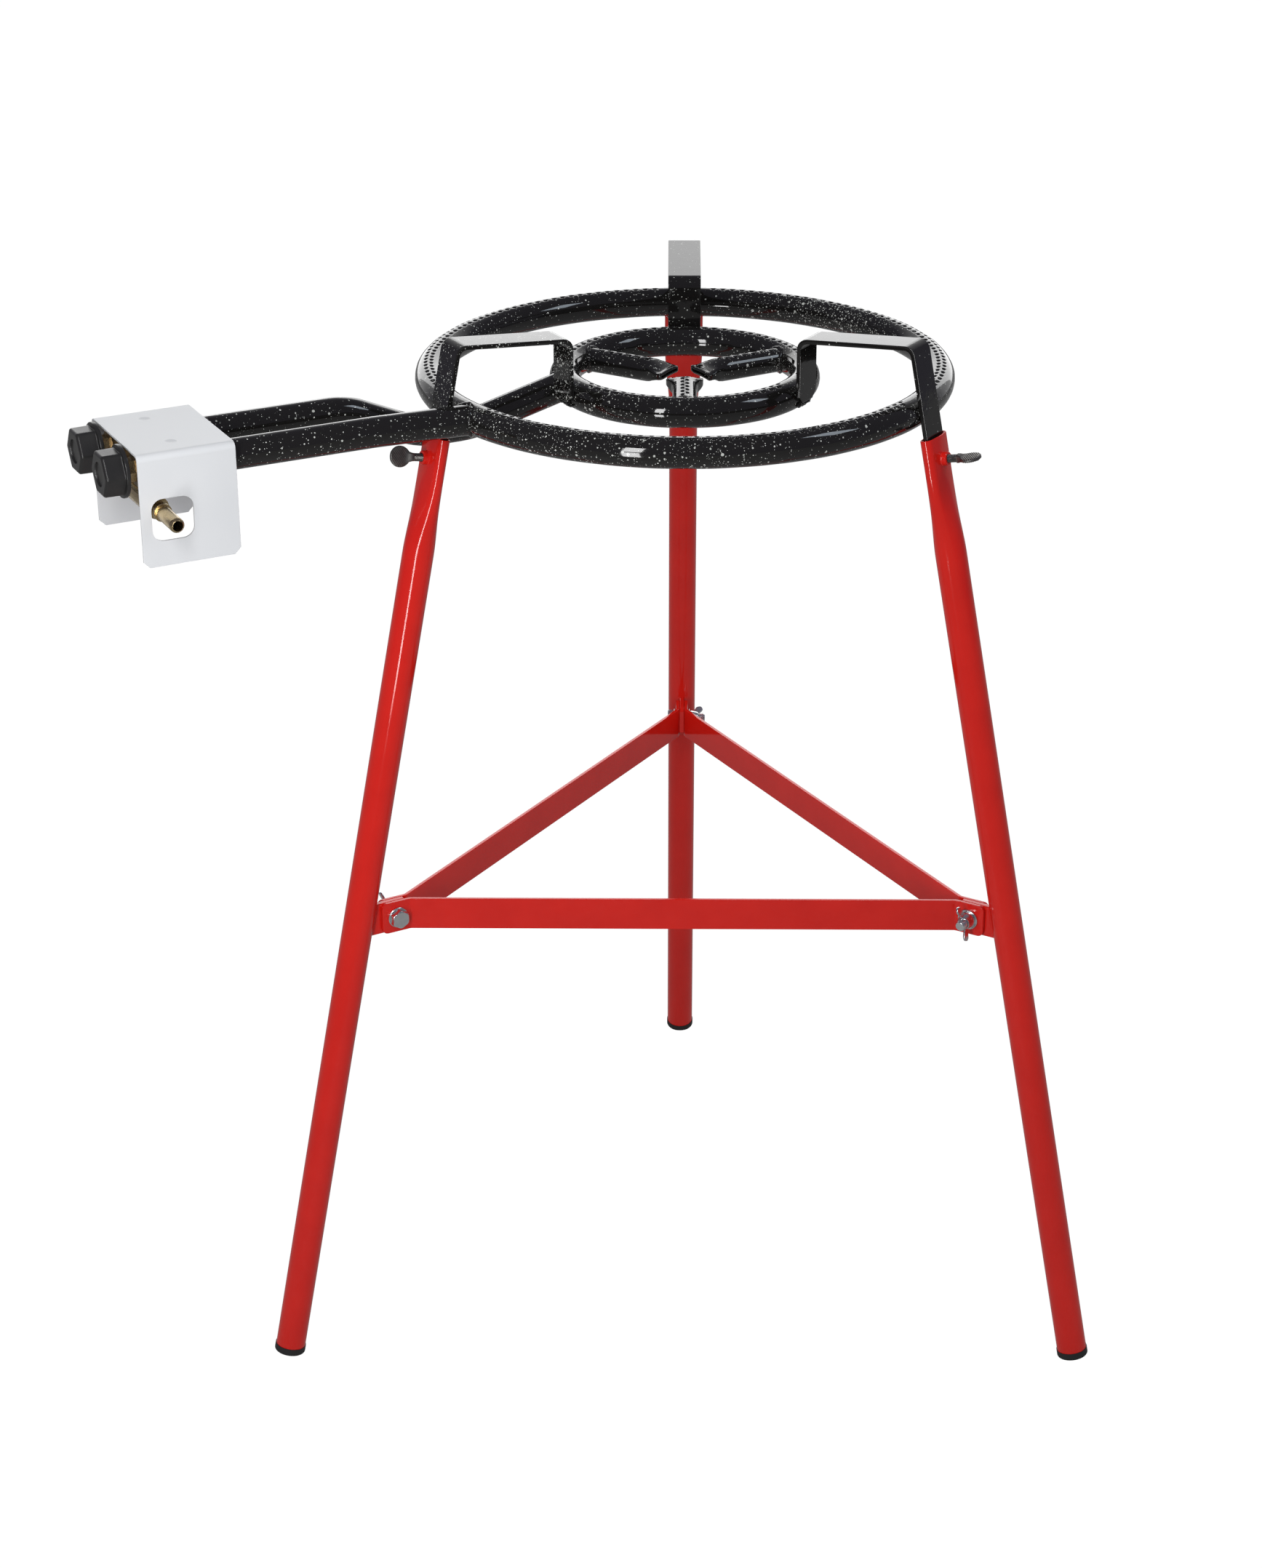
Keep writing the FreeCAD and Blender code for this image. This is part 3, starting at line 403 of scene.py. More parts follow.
def speckled_enamel(name, everywhere=0.0):
    """Enamel whose sprinkle is as thick as the mesh says, plus a share that is the same everywhere."""
    finish = Finish(name, IOR=1.52)
    told = finish.node("ShaderNodeAttribute", {"attribute_name": "sprinkle"}, output="Fac")
    where = finish.place()
    patches = finish.noise(28, 1)
    thickness = ((told + everywhere) * (patches * 1.6 + 0.2)).clamped()
    large = specks(finish, where, 3.6, 1.25, thickness * 0.35)
    middle = specks(finish, where, 2.1, 0.75, thickness)
    small = specks(finish, where, 1.3, 0.42, thickness * 1.3)
    mask = (large + middle + small).clamped()
    tint = finish.noise(240, 1)
    light = finish.mix(tint, (0.45, 0.48, 0.44, 1), (0.84, 0.85, 0.82, 1))
    dark = (0.0095, 0.0088, 0.0085, 1)
    colour = finish.mix(mask * (tint * 0.6 + 0.5).clamped(), dark, light)
    ripple = finish.noise(110, 2)
    return finish.surface(Base_Color=colour, Roughness=mask * 0.12 + 0.05,
                          Normal=finish.bump(ripple, 0.00012, 0.4))


enamel = speckled_enamel("speckled_black_enamel")
even_enamel = speckled_enamel("evenly_speckled_enamel", 0.22)
thick_enamel = speckled_enamel("thickly_speckled_enamel", 0.6)

# %% [markdown]
# The other finishes are simpler. The cover is a pale grey coat on sheet steel, satin rather than glossy.
# Bolts and nuts are bright zinc with a faint cloudiness. The thumb screws are oiled black steel. The
# knobs are moulded plastic with the fine grain of the mould, and the foot caps are the same, but dull.

# %% Cover, steel and plastic
paint_white = coat("pale_grey_coat", (18, 2), ((0.66, 0.675, 0.70, 1), (0.75, 0.76, 0.78, 1)),
                   (0.12, 0.32), (0.00005, 0.5), (1400, 2), IOR=1.45)
zinc = coat("bright_zinc", (240, 3), ((0.60, 0.62, 0.64, 1), (0.84, 0.85, 0.85, 1)),
            (0.22, 0.12), (0.00006, 0.4), Metallic=1.0)
black_steel = coat("oiled_black_steel", (300, 3), ((0.10, 0.097, 0.092, 1), (0.27, 0.26, 0.245, 1)),
                   (0.25, 0.30), (0.0001, 0.6), Metallic=1.0)
blacks = ((0.013, 0.013, 0.014, 1), (0.024, 0.023, 0.022, 1))
plastic = coat("black_plastic", (60, 2), blacks, (0.15, 0.24), (0.00007, 0.8), (1900, 2), IOR=1.47)
rubber = coat("black_foot_plastic", (60, 2), blacks, (0.15, 0.5), (0.00007, 0.8), (1900, 2), IOR=1.47)

# %% [markdown]
# Brass comes in two states here. The hose barb and the manifold are turned and drawn, so they carry fine
# lines along their length. The valve bodies are castings, duller and lumpy, with brown in the hollows.
# Stretching the same noise along one direction makes the lines, and a coarse bump makes the casting.


# %% Brass
def brass(name, cast):
    finish = Finish(name, Metallic=1.0)
    across = finish.node("ShaderNodeVectorRotate", {"rotation_type": "Z_AXIS"},
                         {"Vector": finish.place(), "Angle": -math.radians(feed_azimuth)})
    stretched = finish.node("ShaderNodeVectorMath", {"operation": "MULTIPLY"}, [across, (1.0, 0.06, 1.0)])
    lines = finish.noise(2200, 2, None if cast else stretched)
    stain = finish.noise(90, 3)
    bright = (0.42, 0.30, 0.16, 1) if cast else (0.70, 0.56, 0.33, 1)
    dull = (0.15, 0.095, 0.045, 1) if cast else (0.45, 0.34, 0.18, 1)
    height = finish.noise(420, 3) if cast else lines
    depth, least_rough = (0.0005, 0.34) if cast else (0.00006, 0.18)
    colour = finish.mix(stain, dull, bright)
    return finish.surface(Base_Color=colour, Roughness=lines * 0.16 + least_rough,
                          Normal=finish.bump(height, depth, 0.6))


drawn_brass = brass("drawn_brass", False)
cast_brass = brass("cast_brass", True)
print("finishes", len(bpy.data.materials))

# %% [markdown]
# The rings are steel tube, bent round and welded shut, with two staggered rows of gas ports. The enamel
# pulls back from each drilled edge as it melts, which leaves a soft dimple round every port. So the skin
# of a ring is a regular net, and each port takes the place of four of its meshes: an oval dimple first,
# then a round hole. Ports are left out beside the welds, as on the real tube.

# %% A tube skin with gas ports
port_pitch, port_steps = 7.8, 16
# Half the length, half the width and the depth of each oval round a port
port_mouth = ((2.95, 1.95, 0.0), (2.4, 1.75, 0.10), (1.8, 1.45, 0.36),
              (1.25, 1.15, 0.6), (1.0, 1.0, 0.95), (0.95, 0.95, 2.6))
corners_round = ((-1, 1), (0, 1), (1, 1), (1, 0), (1, -1), (0, -1), (-1, -1), (-1, 0))


def port_angles(low, across, rest=24):
    """Angles round a tube: five across the two rows of ports, then the rest evenly."""
    rows = [low + across * k for k in range(5)]
    return rows + [rows[-1] + (360 - 4 * across) * k / rest for k in range(1, rest)]


def ported(columns, angles, place, radius, ports, loop):
    """A net over columns half a pitch apart, with a port at each (column, row) in ports."""
    rows = len(angles)
    half_pitch = port_pitch / 2

    def index(j, i):
        return j % columns * rows + i % rows

    points = [place(j, angle, 0) for j in range(columns) for angle in angles]
    centres = set(ports)
    faces = []
    for j in range(columns if loop else columns - 1):
        for i in range(rows):
            square = ((j, i), (j + 1, i), (j + 1, i + 1), (j, i + 1))
            corners = [(a % columns, b % rows) for a, b in square]
            if not centres.intersection(corners):
                faces.append(tuple(index(*corner) for corner in corners))
    if not loop:
        faces.append(tuple(range(rows)))
        faces.append(tuple(range((columns - 1) * rows, columns * rows)))
    for j, i in ports:
        rim = [index(j + a, i + b) for a, b in corners_round]
        outer = None
        for along, across, depth in port_mouth:
            inner = [len(points) + k for k in range(port_steps)]
            for k in range(port_steps):
                way = math.radians(135 - 360 / port_steps * k)
                lean = math.degrees(across * math.sin(way) / radius)
                points.append(place(j + along * math.cos(way) / half_pitch, angles[i] + lean, depth))
            if outer is None:
                for k in range(8):
                    end = (2 * k + 2) % port_steps
                    faces.append((rim[k], rim[(k + 1) % 8], inner[end], inner[2 * k + 1], inner[2 * k]))
            else:
                for k in range(port_steps):
                    end = (k + 1) % port_steps
                    faces.append((outer[k], outer[end], inner[end], inner[k]))
            outer = inner
        faces.append(tuple(outer))
    return points, faces


# %% How thick the glaze lies
def spots(azimuths, radius, level):
    return [turn(azimuth) @ Vector((radius, 0, level)) for azimuth in azimuths]


def apart(a, b):
    """The angle between two azimuths."""
    return abs((a - b + 180) % 360 - 180)


def glaze(least, patches, welds, at_weld, reach):
    """A sprinkle that thickens in patches, each (share, azimuth, half angle), and near the welds."""
    def thick(point):
        azimuth = math.degrees(math.atan2(point.y, point.x)) % 360
        more = sum(share * max(0, 1 - apart(azimuth, middle) / half) for share, middle, half in patches)
        near = max([0.0] + [1 - (point - weld).length / reach for weld in welds])
        return min(1, least + more + at_weld * near)
    return thick


# %% The two rings
support_places = leg_azimuths.values()
feed_low, feed_high = box_in(feed_axes, "outer_feed_tube")
dip_low, dip_high = box_in(feed_axes, "inner_feed_tube")
feed_radius = (feed_high.y - feed_low.y) / 2
feed_sides = {"outer": (feed_low.y + feed_high.y) / 2, "inner": (dip_low.y + dip_high.y) / 2}
feed_turn = math.degrees(math.asin(feed_sides["outer"] / outer_radius))
ring_angles = port_angles(-17, 11)
dent_size, dent_depth = 26, 0.16
outer_welds = spots(support_places, outer_radius + tube_radius, ring_level)
outer_welds += spots([feed_azimuth + feed_turn], outer_radius + tube_radius, ring_level)
inner_welds = spots(support_places, inner_radius + tube_radius, inner_level)
inner_welds += spots(stub_azimuths.values(), inner_radius - tube_radius, inner_level)
outer_closed = [(azimuth, 5.5) for azimuth in support_places] + [(feed_azimuth + feed_turn, 4.0)]
inner_closed = [(azimuth, 9.0) for azimuth in support_places]
outer_glaze = glaze(0.18, ((0.75, 50, 32), (0.34, 245, 55)), outer_welds, 0.6, 30)
inner_glaze = glaze(0.16, ((0.25, 220, 45), (0.2, 45, 30)), inner_welds, 0.35, 26)


def ring_part(radius, level, closed):
    """A ring's skin and how many ports it has, none within the gap of each closed (azimuth, gap)."""
    count = round(math.tau * radius / port_pitch)
    columns = 2 * count

    def place(j, angle, depth):
        way, lean = math.tau * j / columns, math.radians(angle)
        there = Vector((radius * math.cos(way), radius * math.sin(way), 20 * lean))
        dent = noise.noise(there / dent_size) * dent_depth
        out = (tube_radius - depth + dent) * math.sin(lean)
        rise = (tube_radius - depth + dent) * math.cos(lean)
        return Vector(((radius + out) * math.cos(way), (radius + out) * math.sin(way), level + rise))

    ports = []
    for row in (0, 1):
        for k in range(count):
            azimuth = 360 * (k + row / 2) / count
            if all(apart(azimuth, middle) >= gap for middle, gap in closed):
                ports.append((2 * k + row, 1 + 2 * row))
    return ported(columns, ring_angles, place, tube_radius, ports, True), len(ports)


def enamelled(name, skin, node, sprinkle, weighted=False):
    piece(name, skin, "burner", enamel, [node], sprinkle, weighted)


rings = {"outer": (outer_radius, ring_level, outer_closed, outer_glaze),
         "inner": (inner_radius, inner_level, inner_closed, inner_glaze)}
for kind, (radius, level, closed, sprinkle) in rings.items():
    skin, ports = ring_part(radius, level, closed)
    enamelled(f"{kind}_ring_tube", skin, f"{kind}_ring", sprinkle)
    print(kind, "ring's ports", ports)

# %% [markdown]
# Three short burning stubs point at the middle. Each is a piece of tube, welded into the inner ring and
# pinched flat in a press at its free end, which spreads it into a lip like a fish tail. The same net of
# ports covers them. Only the place of a point differs: the outline goes from round to flat, and the
# pressed sheet is wavy and creased. The skin turns in at the lip and ends inside, which leaves a slit.

# %% The burning stubs
stub_radius, stub_gap = 9.0, 13.0
stub_reach = inner_radius - stub_gap
stub_flat, stub_blend = 3.0, 16.0
stub_round = stub_reach - stub_flat - stub_blend
lip_half_width, lip_half_height, lip_edge = 13.75, 2.5, 1.3
slit_half_height, slit_inset = 1.1, 1.8
wave_height, crease_height, fine_height = 1.1, 0.55, 0.5
stub_angles = port_angles(-22, 11, 44)
first_port = tube_radius + port_pitch / 2
reaches = [first_port + port_pitch / 2 * (k - 3) for k in range(16)]
run = stub_reach - lip_edge - reaches[-1]
reaches += [reaches[-1] + run * (k + 1) / 15 for k in range(15)]
reaches += [stub_reach - lip_edge * left for left in (0.6, 0.3, 0.1, 0)]
slit_from = len(reaches)
reaches += [stub_reach - depth for depth in (0.05, 0.6, 6)]


def smooth(share):
    share = min(1, max(0, share))
    return share * share * (3 - 2 * share)


def rounded_power(value, power):
    return math.copysign(abs(value) ** power, value)


def stub_place(j, angle, depth):
    """A point on a stub that lies along X, pointing at the middle."""
    low = min(int(j), len(reaches) - 2)
    reach = reaches[low] + (reaches[low + 1] - reaches[low]) * (j - low)
    flat = smooth((reach - stub_round) / stub_blend)
    lip = math.sqrt(1 - max(0, 1 - (stub_reach - reach) / lip_edge) ** 2)
    half_height = (stub_radius + (lip_half_height - stub_radius) * flat) * (0.5 + 0.5 * lip)
    half_width = stub_radius + (lip_half_width - stub_radius) * flat - 0.8 * (1 - lip)
    if j >= slit_from:
        half_height, half_width = slit_half_height, lip_half_width - slit_inset
    lean, power = math.radians(angle), 2 / (2 + 5 * flat)
    side = rounded_power(math.sin(lean), power) * half_width
    rise = rounded_power(math.cos(lean), power) * half_height
    wave = noise.noise(Vector((reach / 9, side / 7, 3.1))) * wave_height * flat
    if j < slit_from:
        crease = 1 - abs(noise.noise(Vector((reach / 7 + side / 9, side / 8, rise / 5))))
        fine = 1 - abs(noise.noise(Vector((reach / 2.6, side / 4.2, rise / 5)))) * 2
        wave += math.copysign(crease_height * crease + fine_height * fine, rise) * 0.5 * flat
    shrink = 1 - depth / max(half_height, 3)
    return Vector((inner_radius - reach, side * shrink, inner_level + rise * shrink + wave))


stub_ports = [(3 + 2 * k + row, 1 + 2 * row) for row in (0, 1) for k in range(6)]
stub_skin = ported(len(reaches), stub_angles, stub_place, stub_radius, stub_ports, False)
stub_glaze = glaze(0.2, (), inner_welds, 0.35, 26)
for name, azimuth in stub_azimuths.items():
    node = f"centre_stub_{name}"
    enamelled(f"{node}_tube", moved(stub_skin, turn(azimuth)), node, stub_glaze)
print("stub ports", len(stub_ports), "lip", 2 * lip_half_width, "wide")

# %% [markdown]
# The three pan supports are flat bar with eased edges, bent twice. They do two jobs: a pan stands on
# them, and they tie both rings together. Their outer ends slide down into the legs. The sprinkle of
# glaze lies thick on the left one, and hardly at all on the right one, as hand work does.

# %% The pan supports
support_inner = inner_radius + bar_off
inner_foot, inner_top = -6.0, 41.41
outer_top, socket_end = (191.28, 49.25), (212.98, -55.16)
support_corners = [(support_inner, inner_foot), (support_inner, inner_top), outer_top, socket_end]
support_bend = 6.75
support_turn = Matrix(((1, 0, 0, 0), (0, 0, 1, 0), (0, 1, 0, ring_level), (0, 0, 0, 1)))
support_skin = bar(support_corners, (support_bend, support_bend), support_thickness, support_width,
                   0.55, (5.5, 1.0), False)
thick_on = {"rear": 0.12, "left": 1.0, "right": 0.05}
upright_below, thick_on_top = ring_level + 38, 0.3


def bar_glaze(thick):
    """As thick as told on the upright runs, and thin on top."""
    return lambda point: thick if point.z < upright_below else min(thick, thick_on_top)


for name, azimuth in leg_azimuths.items():
    node = f"pan_support_{name}"
    skin = moved(support_skin, turn(azimuth) @ support_turn)
    enamelled(f"{node}_bar", skin, node, bar_glaze(thick_on[name]), True)
low, high = box_in(turn(90), "pan_support_rear")
print("support from", round(low.x, 1), "to", round(high.x, 1), "top", round(high.z, 1))

# %% [markdown]
# Each leg is one tube. Its top is pressed into a flat socket that a pan support slides into, and below
# that the press leaves a long smooth change from flat to round. The skin goes up the outside, over the
# rounded rim and down the inside, so that the socket is really open.

# %% The legs
leg_radius, leg_wall = 11.5, 1.5
socket_half_depth, socket_half_width, crown = 4.75, 15.25, 1.0
mouth_below_ring, cap_depth = 16, 20
leg_mouth = (ring_level - mouth_below_ring) / math.cos(leg_splay)
leg_foot = box_in(turn(90) @ leg_axes, "foot_cap_rear")[1].z - cap_depth
round_below, flat_below = 89.0, 27.0


def oval(radius, half_depth, half_width, flat, level, steps=10):
    """The outline of a tube pressed by a share from round to a flat oval."""
    straight = half_width - half_depth
    outline = []
    for quarter in range(4):
        for k in range(steps):
            share = k / steps
            way = math.radians(90 * (quarter + share) - 45)
            round_point = Vector((math.cos(way), math.sin(way))) * radius
            bow = math.pi * share
            if quarter % 2:
                pressed = Vector((half_depth * math.cos(bow), straight + half_depth * math.sin(bow)))
            else:
                pressed = Vector((half_depth + crown * math.sin(bow), straight * (2 * share - 1)))
            x, y = round_point.lerp(-pressed if quarter > 1 else pressed, flat)
            outline.append((x, y, level))
    return outline


def leg_outline(below, wall=0.0):
    """The outline at a depth below the mouth, a wall's share inside the outer skin."""
    level = leg_mouth - below
    flat = smooth((level - (leg_mouth - round_below)) / (round_below - flat_below))
    return oval(leg_radius - wall, socket_half_depth - wall, socket_half_width - wall, flat, level)


def painted(name, skin, body, *nodes, weighted=True):
    piece(name, skin, body, paint_red, nodes, weighted=weighted)


leg_rows = [leg_outline(leg_mouth - leg_foot - rise) for rise in (-0.5, 200, 400)]
leg_rows.append(leg_outline(90))
leg_rows += [leg_outline(round_below - (round_below - flat_below) * k / 24) for k in range(25)]
rim = ((15, 0), (4, 0), (0.5, 0), (0.15, 0.15), (0, 0.5), (0, 1.0), (0.15, 1.35), (0.5, 1.5))
leg_rows += [leg_outline(below, wall) for below, wall in rim]
leg_rows += [leg_outline(10 + 80 * k / 16, leg_wall) for k in range(17)]
leg_skin = loft(leg_rows)
for name, azimuth in leg_azimuths.items():
    painted(f"leg_{name}_tube", moved(leg_skin, turn(azimuth) @ leg_axes), f"{name}_leg", f"leg_{name}")
print("leg mouth", round(leg_mouth, 1), "foot", round(leg_foot, 1))

# %% [markdown]
# At knee height a lug of thick sheet is welded to each leg, and three flat strips tie the lugs together.
# Their ends are bent so that two tabs take each lug between them. The sheet is sheared and tumbled, so
# its edges are only a little eased. That is enough to draw a thin bright line along every edge.

# %% Lugs and brace strips
brace_level, bolt_inset = 361.0, 30.25
brace_bolt = leg_floor_radius - brace_level * math.tan(leg_splay) - bolt_inset
lug_thickness, lug_in, lug_out = 4.0, 10, 30
strip_thickness, strip_width, strip_bend, sheet_easing = 3.0, 25.0, 5.5, 0.45
tab_offset, tab_out, tab_in = 3.6, 12.5, 11
to_brace = shift(0, 0, brace_level)
lug_line = [(brace_bolt - lug_in, 0), (brace_bolt + lug_out, 0)]
lug_skin = moved(bar(lug_line, (), lug_thickness, strip_width, sheet_easing, (3.0, 0.6), False), to_brace)
for name, azimuth in leg_azimuths.items():
    painted(f"lug_{name}_plate", moved(lug_skin, turn(azimuth)), f"{name}_leg", f"lug_{name}")

strip_near = [Vector((brace_bolt + tab_out, tab_offset, 0)), Vector((brace_bolt - tab_in, tab_offset, 0))]
strip_far = [turn(120) @ Vector((p.x, -p.y, 0)) for p in reversed(strip_near)]
strip_line = [(p.x, p.y) for p in strip_near + strip_far]
strip_skin = moved(bar(strip_line, (strip_bend, strip_bend), strip_thickness, strip_width, sheet_easing,
                       (4.5, 4.5), True), to_brace)
for name, start in {"right": 330, "left": 90, "front": 210}.items():
    node = f"brace_strip_{name}"
    painted(f"{node}_bar", moved(strip_skin, turn(start)), "brace", node)
print("brace bolts stand", round(brace_bolt, 1), "from the axis")

# %% [markdown]
# The bolts are ordinary hexagon bolts, and the nuts have wings so that the stand comes apart by hand. A
# real thread is a helix. Here each outline along the bolt is drawn with its own turn of the groove,
# which gives the same ridges. The wings are short rounded ears, a little thicker at their roots.


# %% Threads, heads and wings
def threaded(start, end, radius, pitch, depth, steps=8):
    """A thread about Z, as pairs of a level and the reach there."""
    rows = round(abs(end - start) / pitch * steps)

    def reach_at(level):
        return lambda way: radius - depth * abs(2 * ((level / pitch - way / math.tau) % 1) - 1)

    levels = [start + (end - start) * i / rows for i in range(rows + 1)]
    return [(level, reach_at(level)) for level in levels]


def hexagon(half_flats, limit=100.0):
    """The reach of a hexagon with a flat towards X, kept inside a circle."""
    def reach(way):
        off = (way + math.pi / 6) % (math.pi / 3) - math.pi / 6
        return min(half_flats / math.cos(off), limit)
    return reach


wing_root, wing_lobe = Vector((3.6, 4.3)), Vector((10.55, 8.4))
root_half, lobe_radius = 2.3, 3.2
root_thickness, root_extra = 1.35, 0.45


def wing(side):
    """An ear of the nut in XZ, as a row of rounded outlines across it."""
    way = (wing_lobe - wing_root).normalized()
    across = Vector((-way.y, way.x))
    length = (wing_lobe - wing_root).length
    sections = []
    for k in range(21):
        share = 1 - (1 - k / 20) ** 1.5
        reach = share * (length + lobe_radius - 0.02)
        over = max(0, reach - length)
        half = root_half + (lobe_radius - root_half) * min(1, reach / length)
        half = math.sqrt(max(half ** 2 - over ** 2, 0.01))
        thick = min(root_thickness - root_extra * smooth(reach / 4), half)
        middle = wing_root + way * reach
        outline = bar_outline(thick, half, thick * 0.8, 3)
        sections.append([(side * (middle.x + across.x * b), a, middle.y + across.y * b)
                         for a, b in outline])
    return loft(sections)


# %% Bolts, washers and wing nuts
washer_thickness, nut_height, bolt_past_nut = 1.6, 7.5, 5.8
seat = tab_offset + strip_thickness / 2 + washer_thickness
bolt_end = -(seat + nut_height + bolt_past_nut)
head_rim = ((0, 6.2), (0.01, hexagon(6.5, 7.2)), (0.5, hexagon(6.5)), (4.5, hexagon(6.5, 7.45)),
            (4.9, hexagon(6.5, 6.95)), (5.3, 6.25), (5.22, 5.2), (5.1, 1.0))
tip_rim = [(bolt_end, 2.9), (bolt_end + 0.08, 3.2)] + threaded(bolt_end + 0.8, -seat - 2, 4.0, 1.25, 0.4)
washer_rim = ((0, 4.2), (0, 7.7), (0.3, 8.0), (1.3, 8.0), (1.6, 7.7), (1.6, 4.2))
barrel_rim = ((0, 4.1), (0, 5.7), (0.4, 6.35), (0.9, 6.4), (2.2, 6.1), (6.6, 5.15), (7.2, 4.95),
              (nut_height, 4.6), (7.2, 4.1))
bolt_skin = joined(moved(lathe(head_rim), shift(0, 0, seat)), lathe(tip_rim))
washer_skin = moved(lathe(washer_rim, 56, True), shift(0, 0, seat - washer_thickness))
bolts, washers = [], []
for azimuth in leg_azimuths.values():
    axes = turn(azimuth) @ shift(brace_bolt, 0, brace_level) @ turn(-90, "X")
    bolts.append(moved(bolt_skin, axes))
    washers += [moved(washer_skin, axes), moved(washer_skin, axes @ turn(180, "X"))]
piece("brace_bolt_set", joined(*bolts), "brace", zinc, ["brace_bolts"])
piece("brace_washer_set", joined(*washers), "brace", zinc, ["brace_washers"])
nut_skin = joined(lathe(barrel_rim, 48, True), wing(1), wing(-1))
nut_phases = {"rear": 20, "left": 70, "right": 108}
for name, azimuth in leg_azimuths.items():
    axes = turn(azimuth) @ shift(brace_bolt, -seat, brace_level) @ turn(90, "X")
    skin = moved(nut_skin, axes @ turn(nut_phases[name]))
    piece(f"wing_nut_{name}_ears", skin, f"{name}_wing_nut", zinc, [f"wing_nut_{name}"])
print("bolt head seats at", round(seat, 2), "from the lug's middle")

# %% [markdown]
# A thumb screw clamps each pan support in its socket. It is a threaded rod forged at one end into a
# round spade, with shallow slanting grooves for grip. A short red boss on the leg carries the
# thread. Turned by hand, the three spades stand at different angles, as in the photograph.

# %% Thumb screws and their bosses
screw_below_mouth, screw_start, screw_radius = 17, 6.0, 3.0
screw_level = leg_mouth - screw_below_mouth
spade_radius, spade_middle, spade_half = 7.75, 27.0, 1.5
neck_start = spade_middle - spade_radius - 2.5
neck_half, neck_widening, neck_thick = 3.0, 1.0, 2.95
forging, rim_half, rim_run = 5.0, 0.75, 0.9
groove_pitch, groove_depth, groove_slant = 1.7, 0.16, 0.8


def spade_outline(half, thick, grooved, level, count=44):
    """A slab's rounded outline whose two broad faces carry slanting grooves where grooved is 1."""
    outline = []
    for face in (1, -1):
        for k in range(count):
            across = -math.cos(math.pi * (k + 0.5) / count) * half * face
            rounding = (1 - abs(across / half) ** 5) ** 0.2
            wave = math.cos(math.tau * (level + groove_slant * across) / groove_pitch)
            groove = groove_depth * grooved * (wave - 1)
            outline.append((across, face * (thick + groove) * rounding, level))
    return outline


def spade():
    """The flat end of a thumb screw, along Z, as wide as a disc and grooved at a slant."""
    sections = []
    level, end = neck_start, spade_middle + spade_radius
    while level < end:
        run, left, off = level - neck_start, end - level, level - spade_middle
        disc = math.sqrt(max(spade_radius ** 2 - off ** 2, 0.05)) if off > -spade_radius else 0
        neck = neck_half + neck_widening * smooth(run / forging) if off < 0 else 0
        half = max(disc, neck)
        thick = min(neck_thick - (neck_thick - spade_half) * smooth((run - 1) / forging), half)
        thick = min(thick, rim_half + (thick - rim_half) * smooth(left / rim_run))
        grooved = smooth((run - forging) / 2) * smooth(left / 2)
        sections.append(spade_outline(half, thick, grooved, level))
        level += 0.18 if left > 0.8 else 0.06
    return loft(sections)


screw_skin = joined(lathe(threaded(screw_start, neck_start + 0.6, screw_radius, 1.0, 0.45)), spade())
boss_rim = ((4.9, 5.7), (5.9, 5.35), (6.5, 5.04), (9.4, 5.0), (9.75, 4.6), (9.75, 3.3), (9.2, 3.05),
            (6.5, 3.05))
boss_skin = lathe(boss_rim)
screw_phases = {"rear": 30, "left": 14, "right": 97}
for name, azimuth in leg_azimuths.items():
    axes = turn(azimuth) @ leg_axes @ shift(0, 0, screw_level) @ turn(90, "Y")
    boss = f"screw_boss_{name}"
    painted(f"{boss}_turned", moved(boss_skin, axes), f"{name}_leg", boss)
    skin = moved(screw_skin, axes @ turn(screw_phases[name]))
    node = f"thumb_screw_{name}"
    piece(f"{node}_spade", skin, f"{name}_thumb_screw", black_steel, [node])
print("screw level along the leg", round(screw_level, 1))

# %% [markdown]
# The valve cover is a strip of thin sheet folded into a bridge over the two taps. Its corners are
# clipped, a window lets the hose barb out, and two punched dimples hold the posts. The fold is one
# outline swept along the feed tubes, and the window and the dimples are then carved out of it.


# %% Carving one skin with another
def carved(part, cutter):
    """A skin with another taken out of it."""
    body, tool = [placed("carving", mesh_of("carving", skin)) for skin in (part, cutter)]
    cut = body.modifiers.new("carve", "BOOLEAN")
    cut.operation, cut.solver, cut.object = "DIFFERENCE", "EXACT", tool
    result = bpy.data.meshes.new_from_object(body.evaluated_get(bpy.context.evaluated_depsgraph_get()))
    points = [v.co.copy() for v in result.vertices]
    faces = [tuple(face.vertices) for face in result.polygons]
    for thing in (body, tool):
        mesh = thing.data
        bpy.data.objects.remove(thing)
        bpy.data.meshes.remove(mesh)
    bpy.data.meshes.remove(result)
    return points, faces


# %% The valve cover
cover_low, cover_high = box_in(feed_axes, "valve_cover")
cover_sheet, cover_bend, cover_corner = 1.5, 4.25, 4.5
sheet_edge = ((0.0, 0.3), (0.09, 0.09), (0.3, 0.0))
window_along, window_level, window_half, window_corner = 419.8, -29.5, 15, 8
dimple_along, dimple_radius, dimple_depth = 411, 13.1, 0.8


def cover_outline(level, raised, thinned):
    """The folded section at a place along the tubes."""
    low = cover_low.z + raised
    half = cover_sheet / 2
    left, right, top = cover_low.y + half, cover_high.y - half, cover_high.z - half
    stops = route([(left, low), (left, top), (right, top), (right, low)], (cover_bend, cover_bend), 7)
    (start, up), (end, down) = stops[0], stops[-1]
    line = [(start + up * run, up, cut) for run, cut in sheet_edge]
    line += [(place, way, 0) for place, way in stops[1:-1]]
    line += [(end - down * run, down, cut) for run, cut in reversed(sheet_edge)]
    outline = []
    for sign in (1, -1):
        for place, way, cut in line[::sign]:
            side = Vector((-way.y, way.x)) * sign
            point = place + side * (half - max(cut, thinned))
            outline.append((level, point.x, point.y))
    return outline


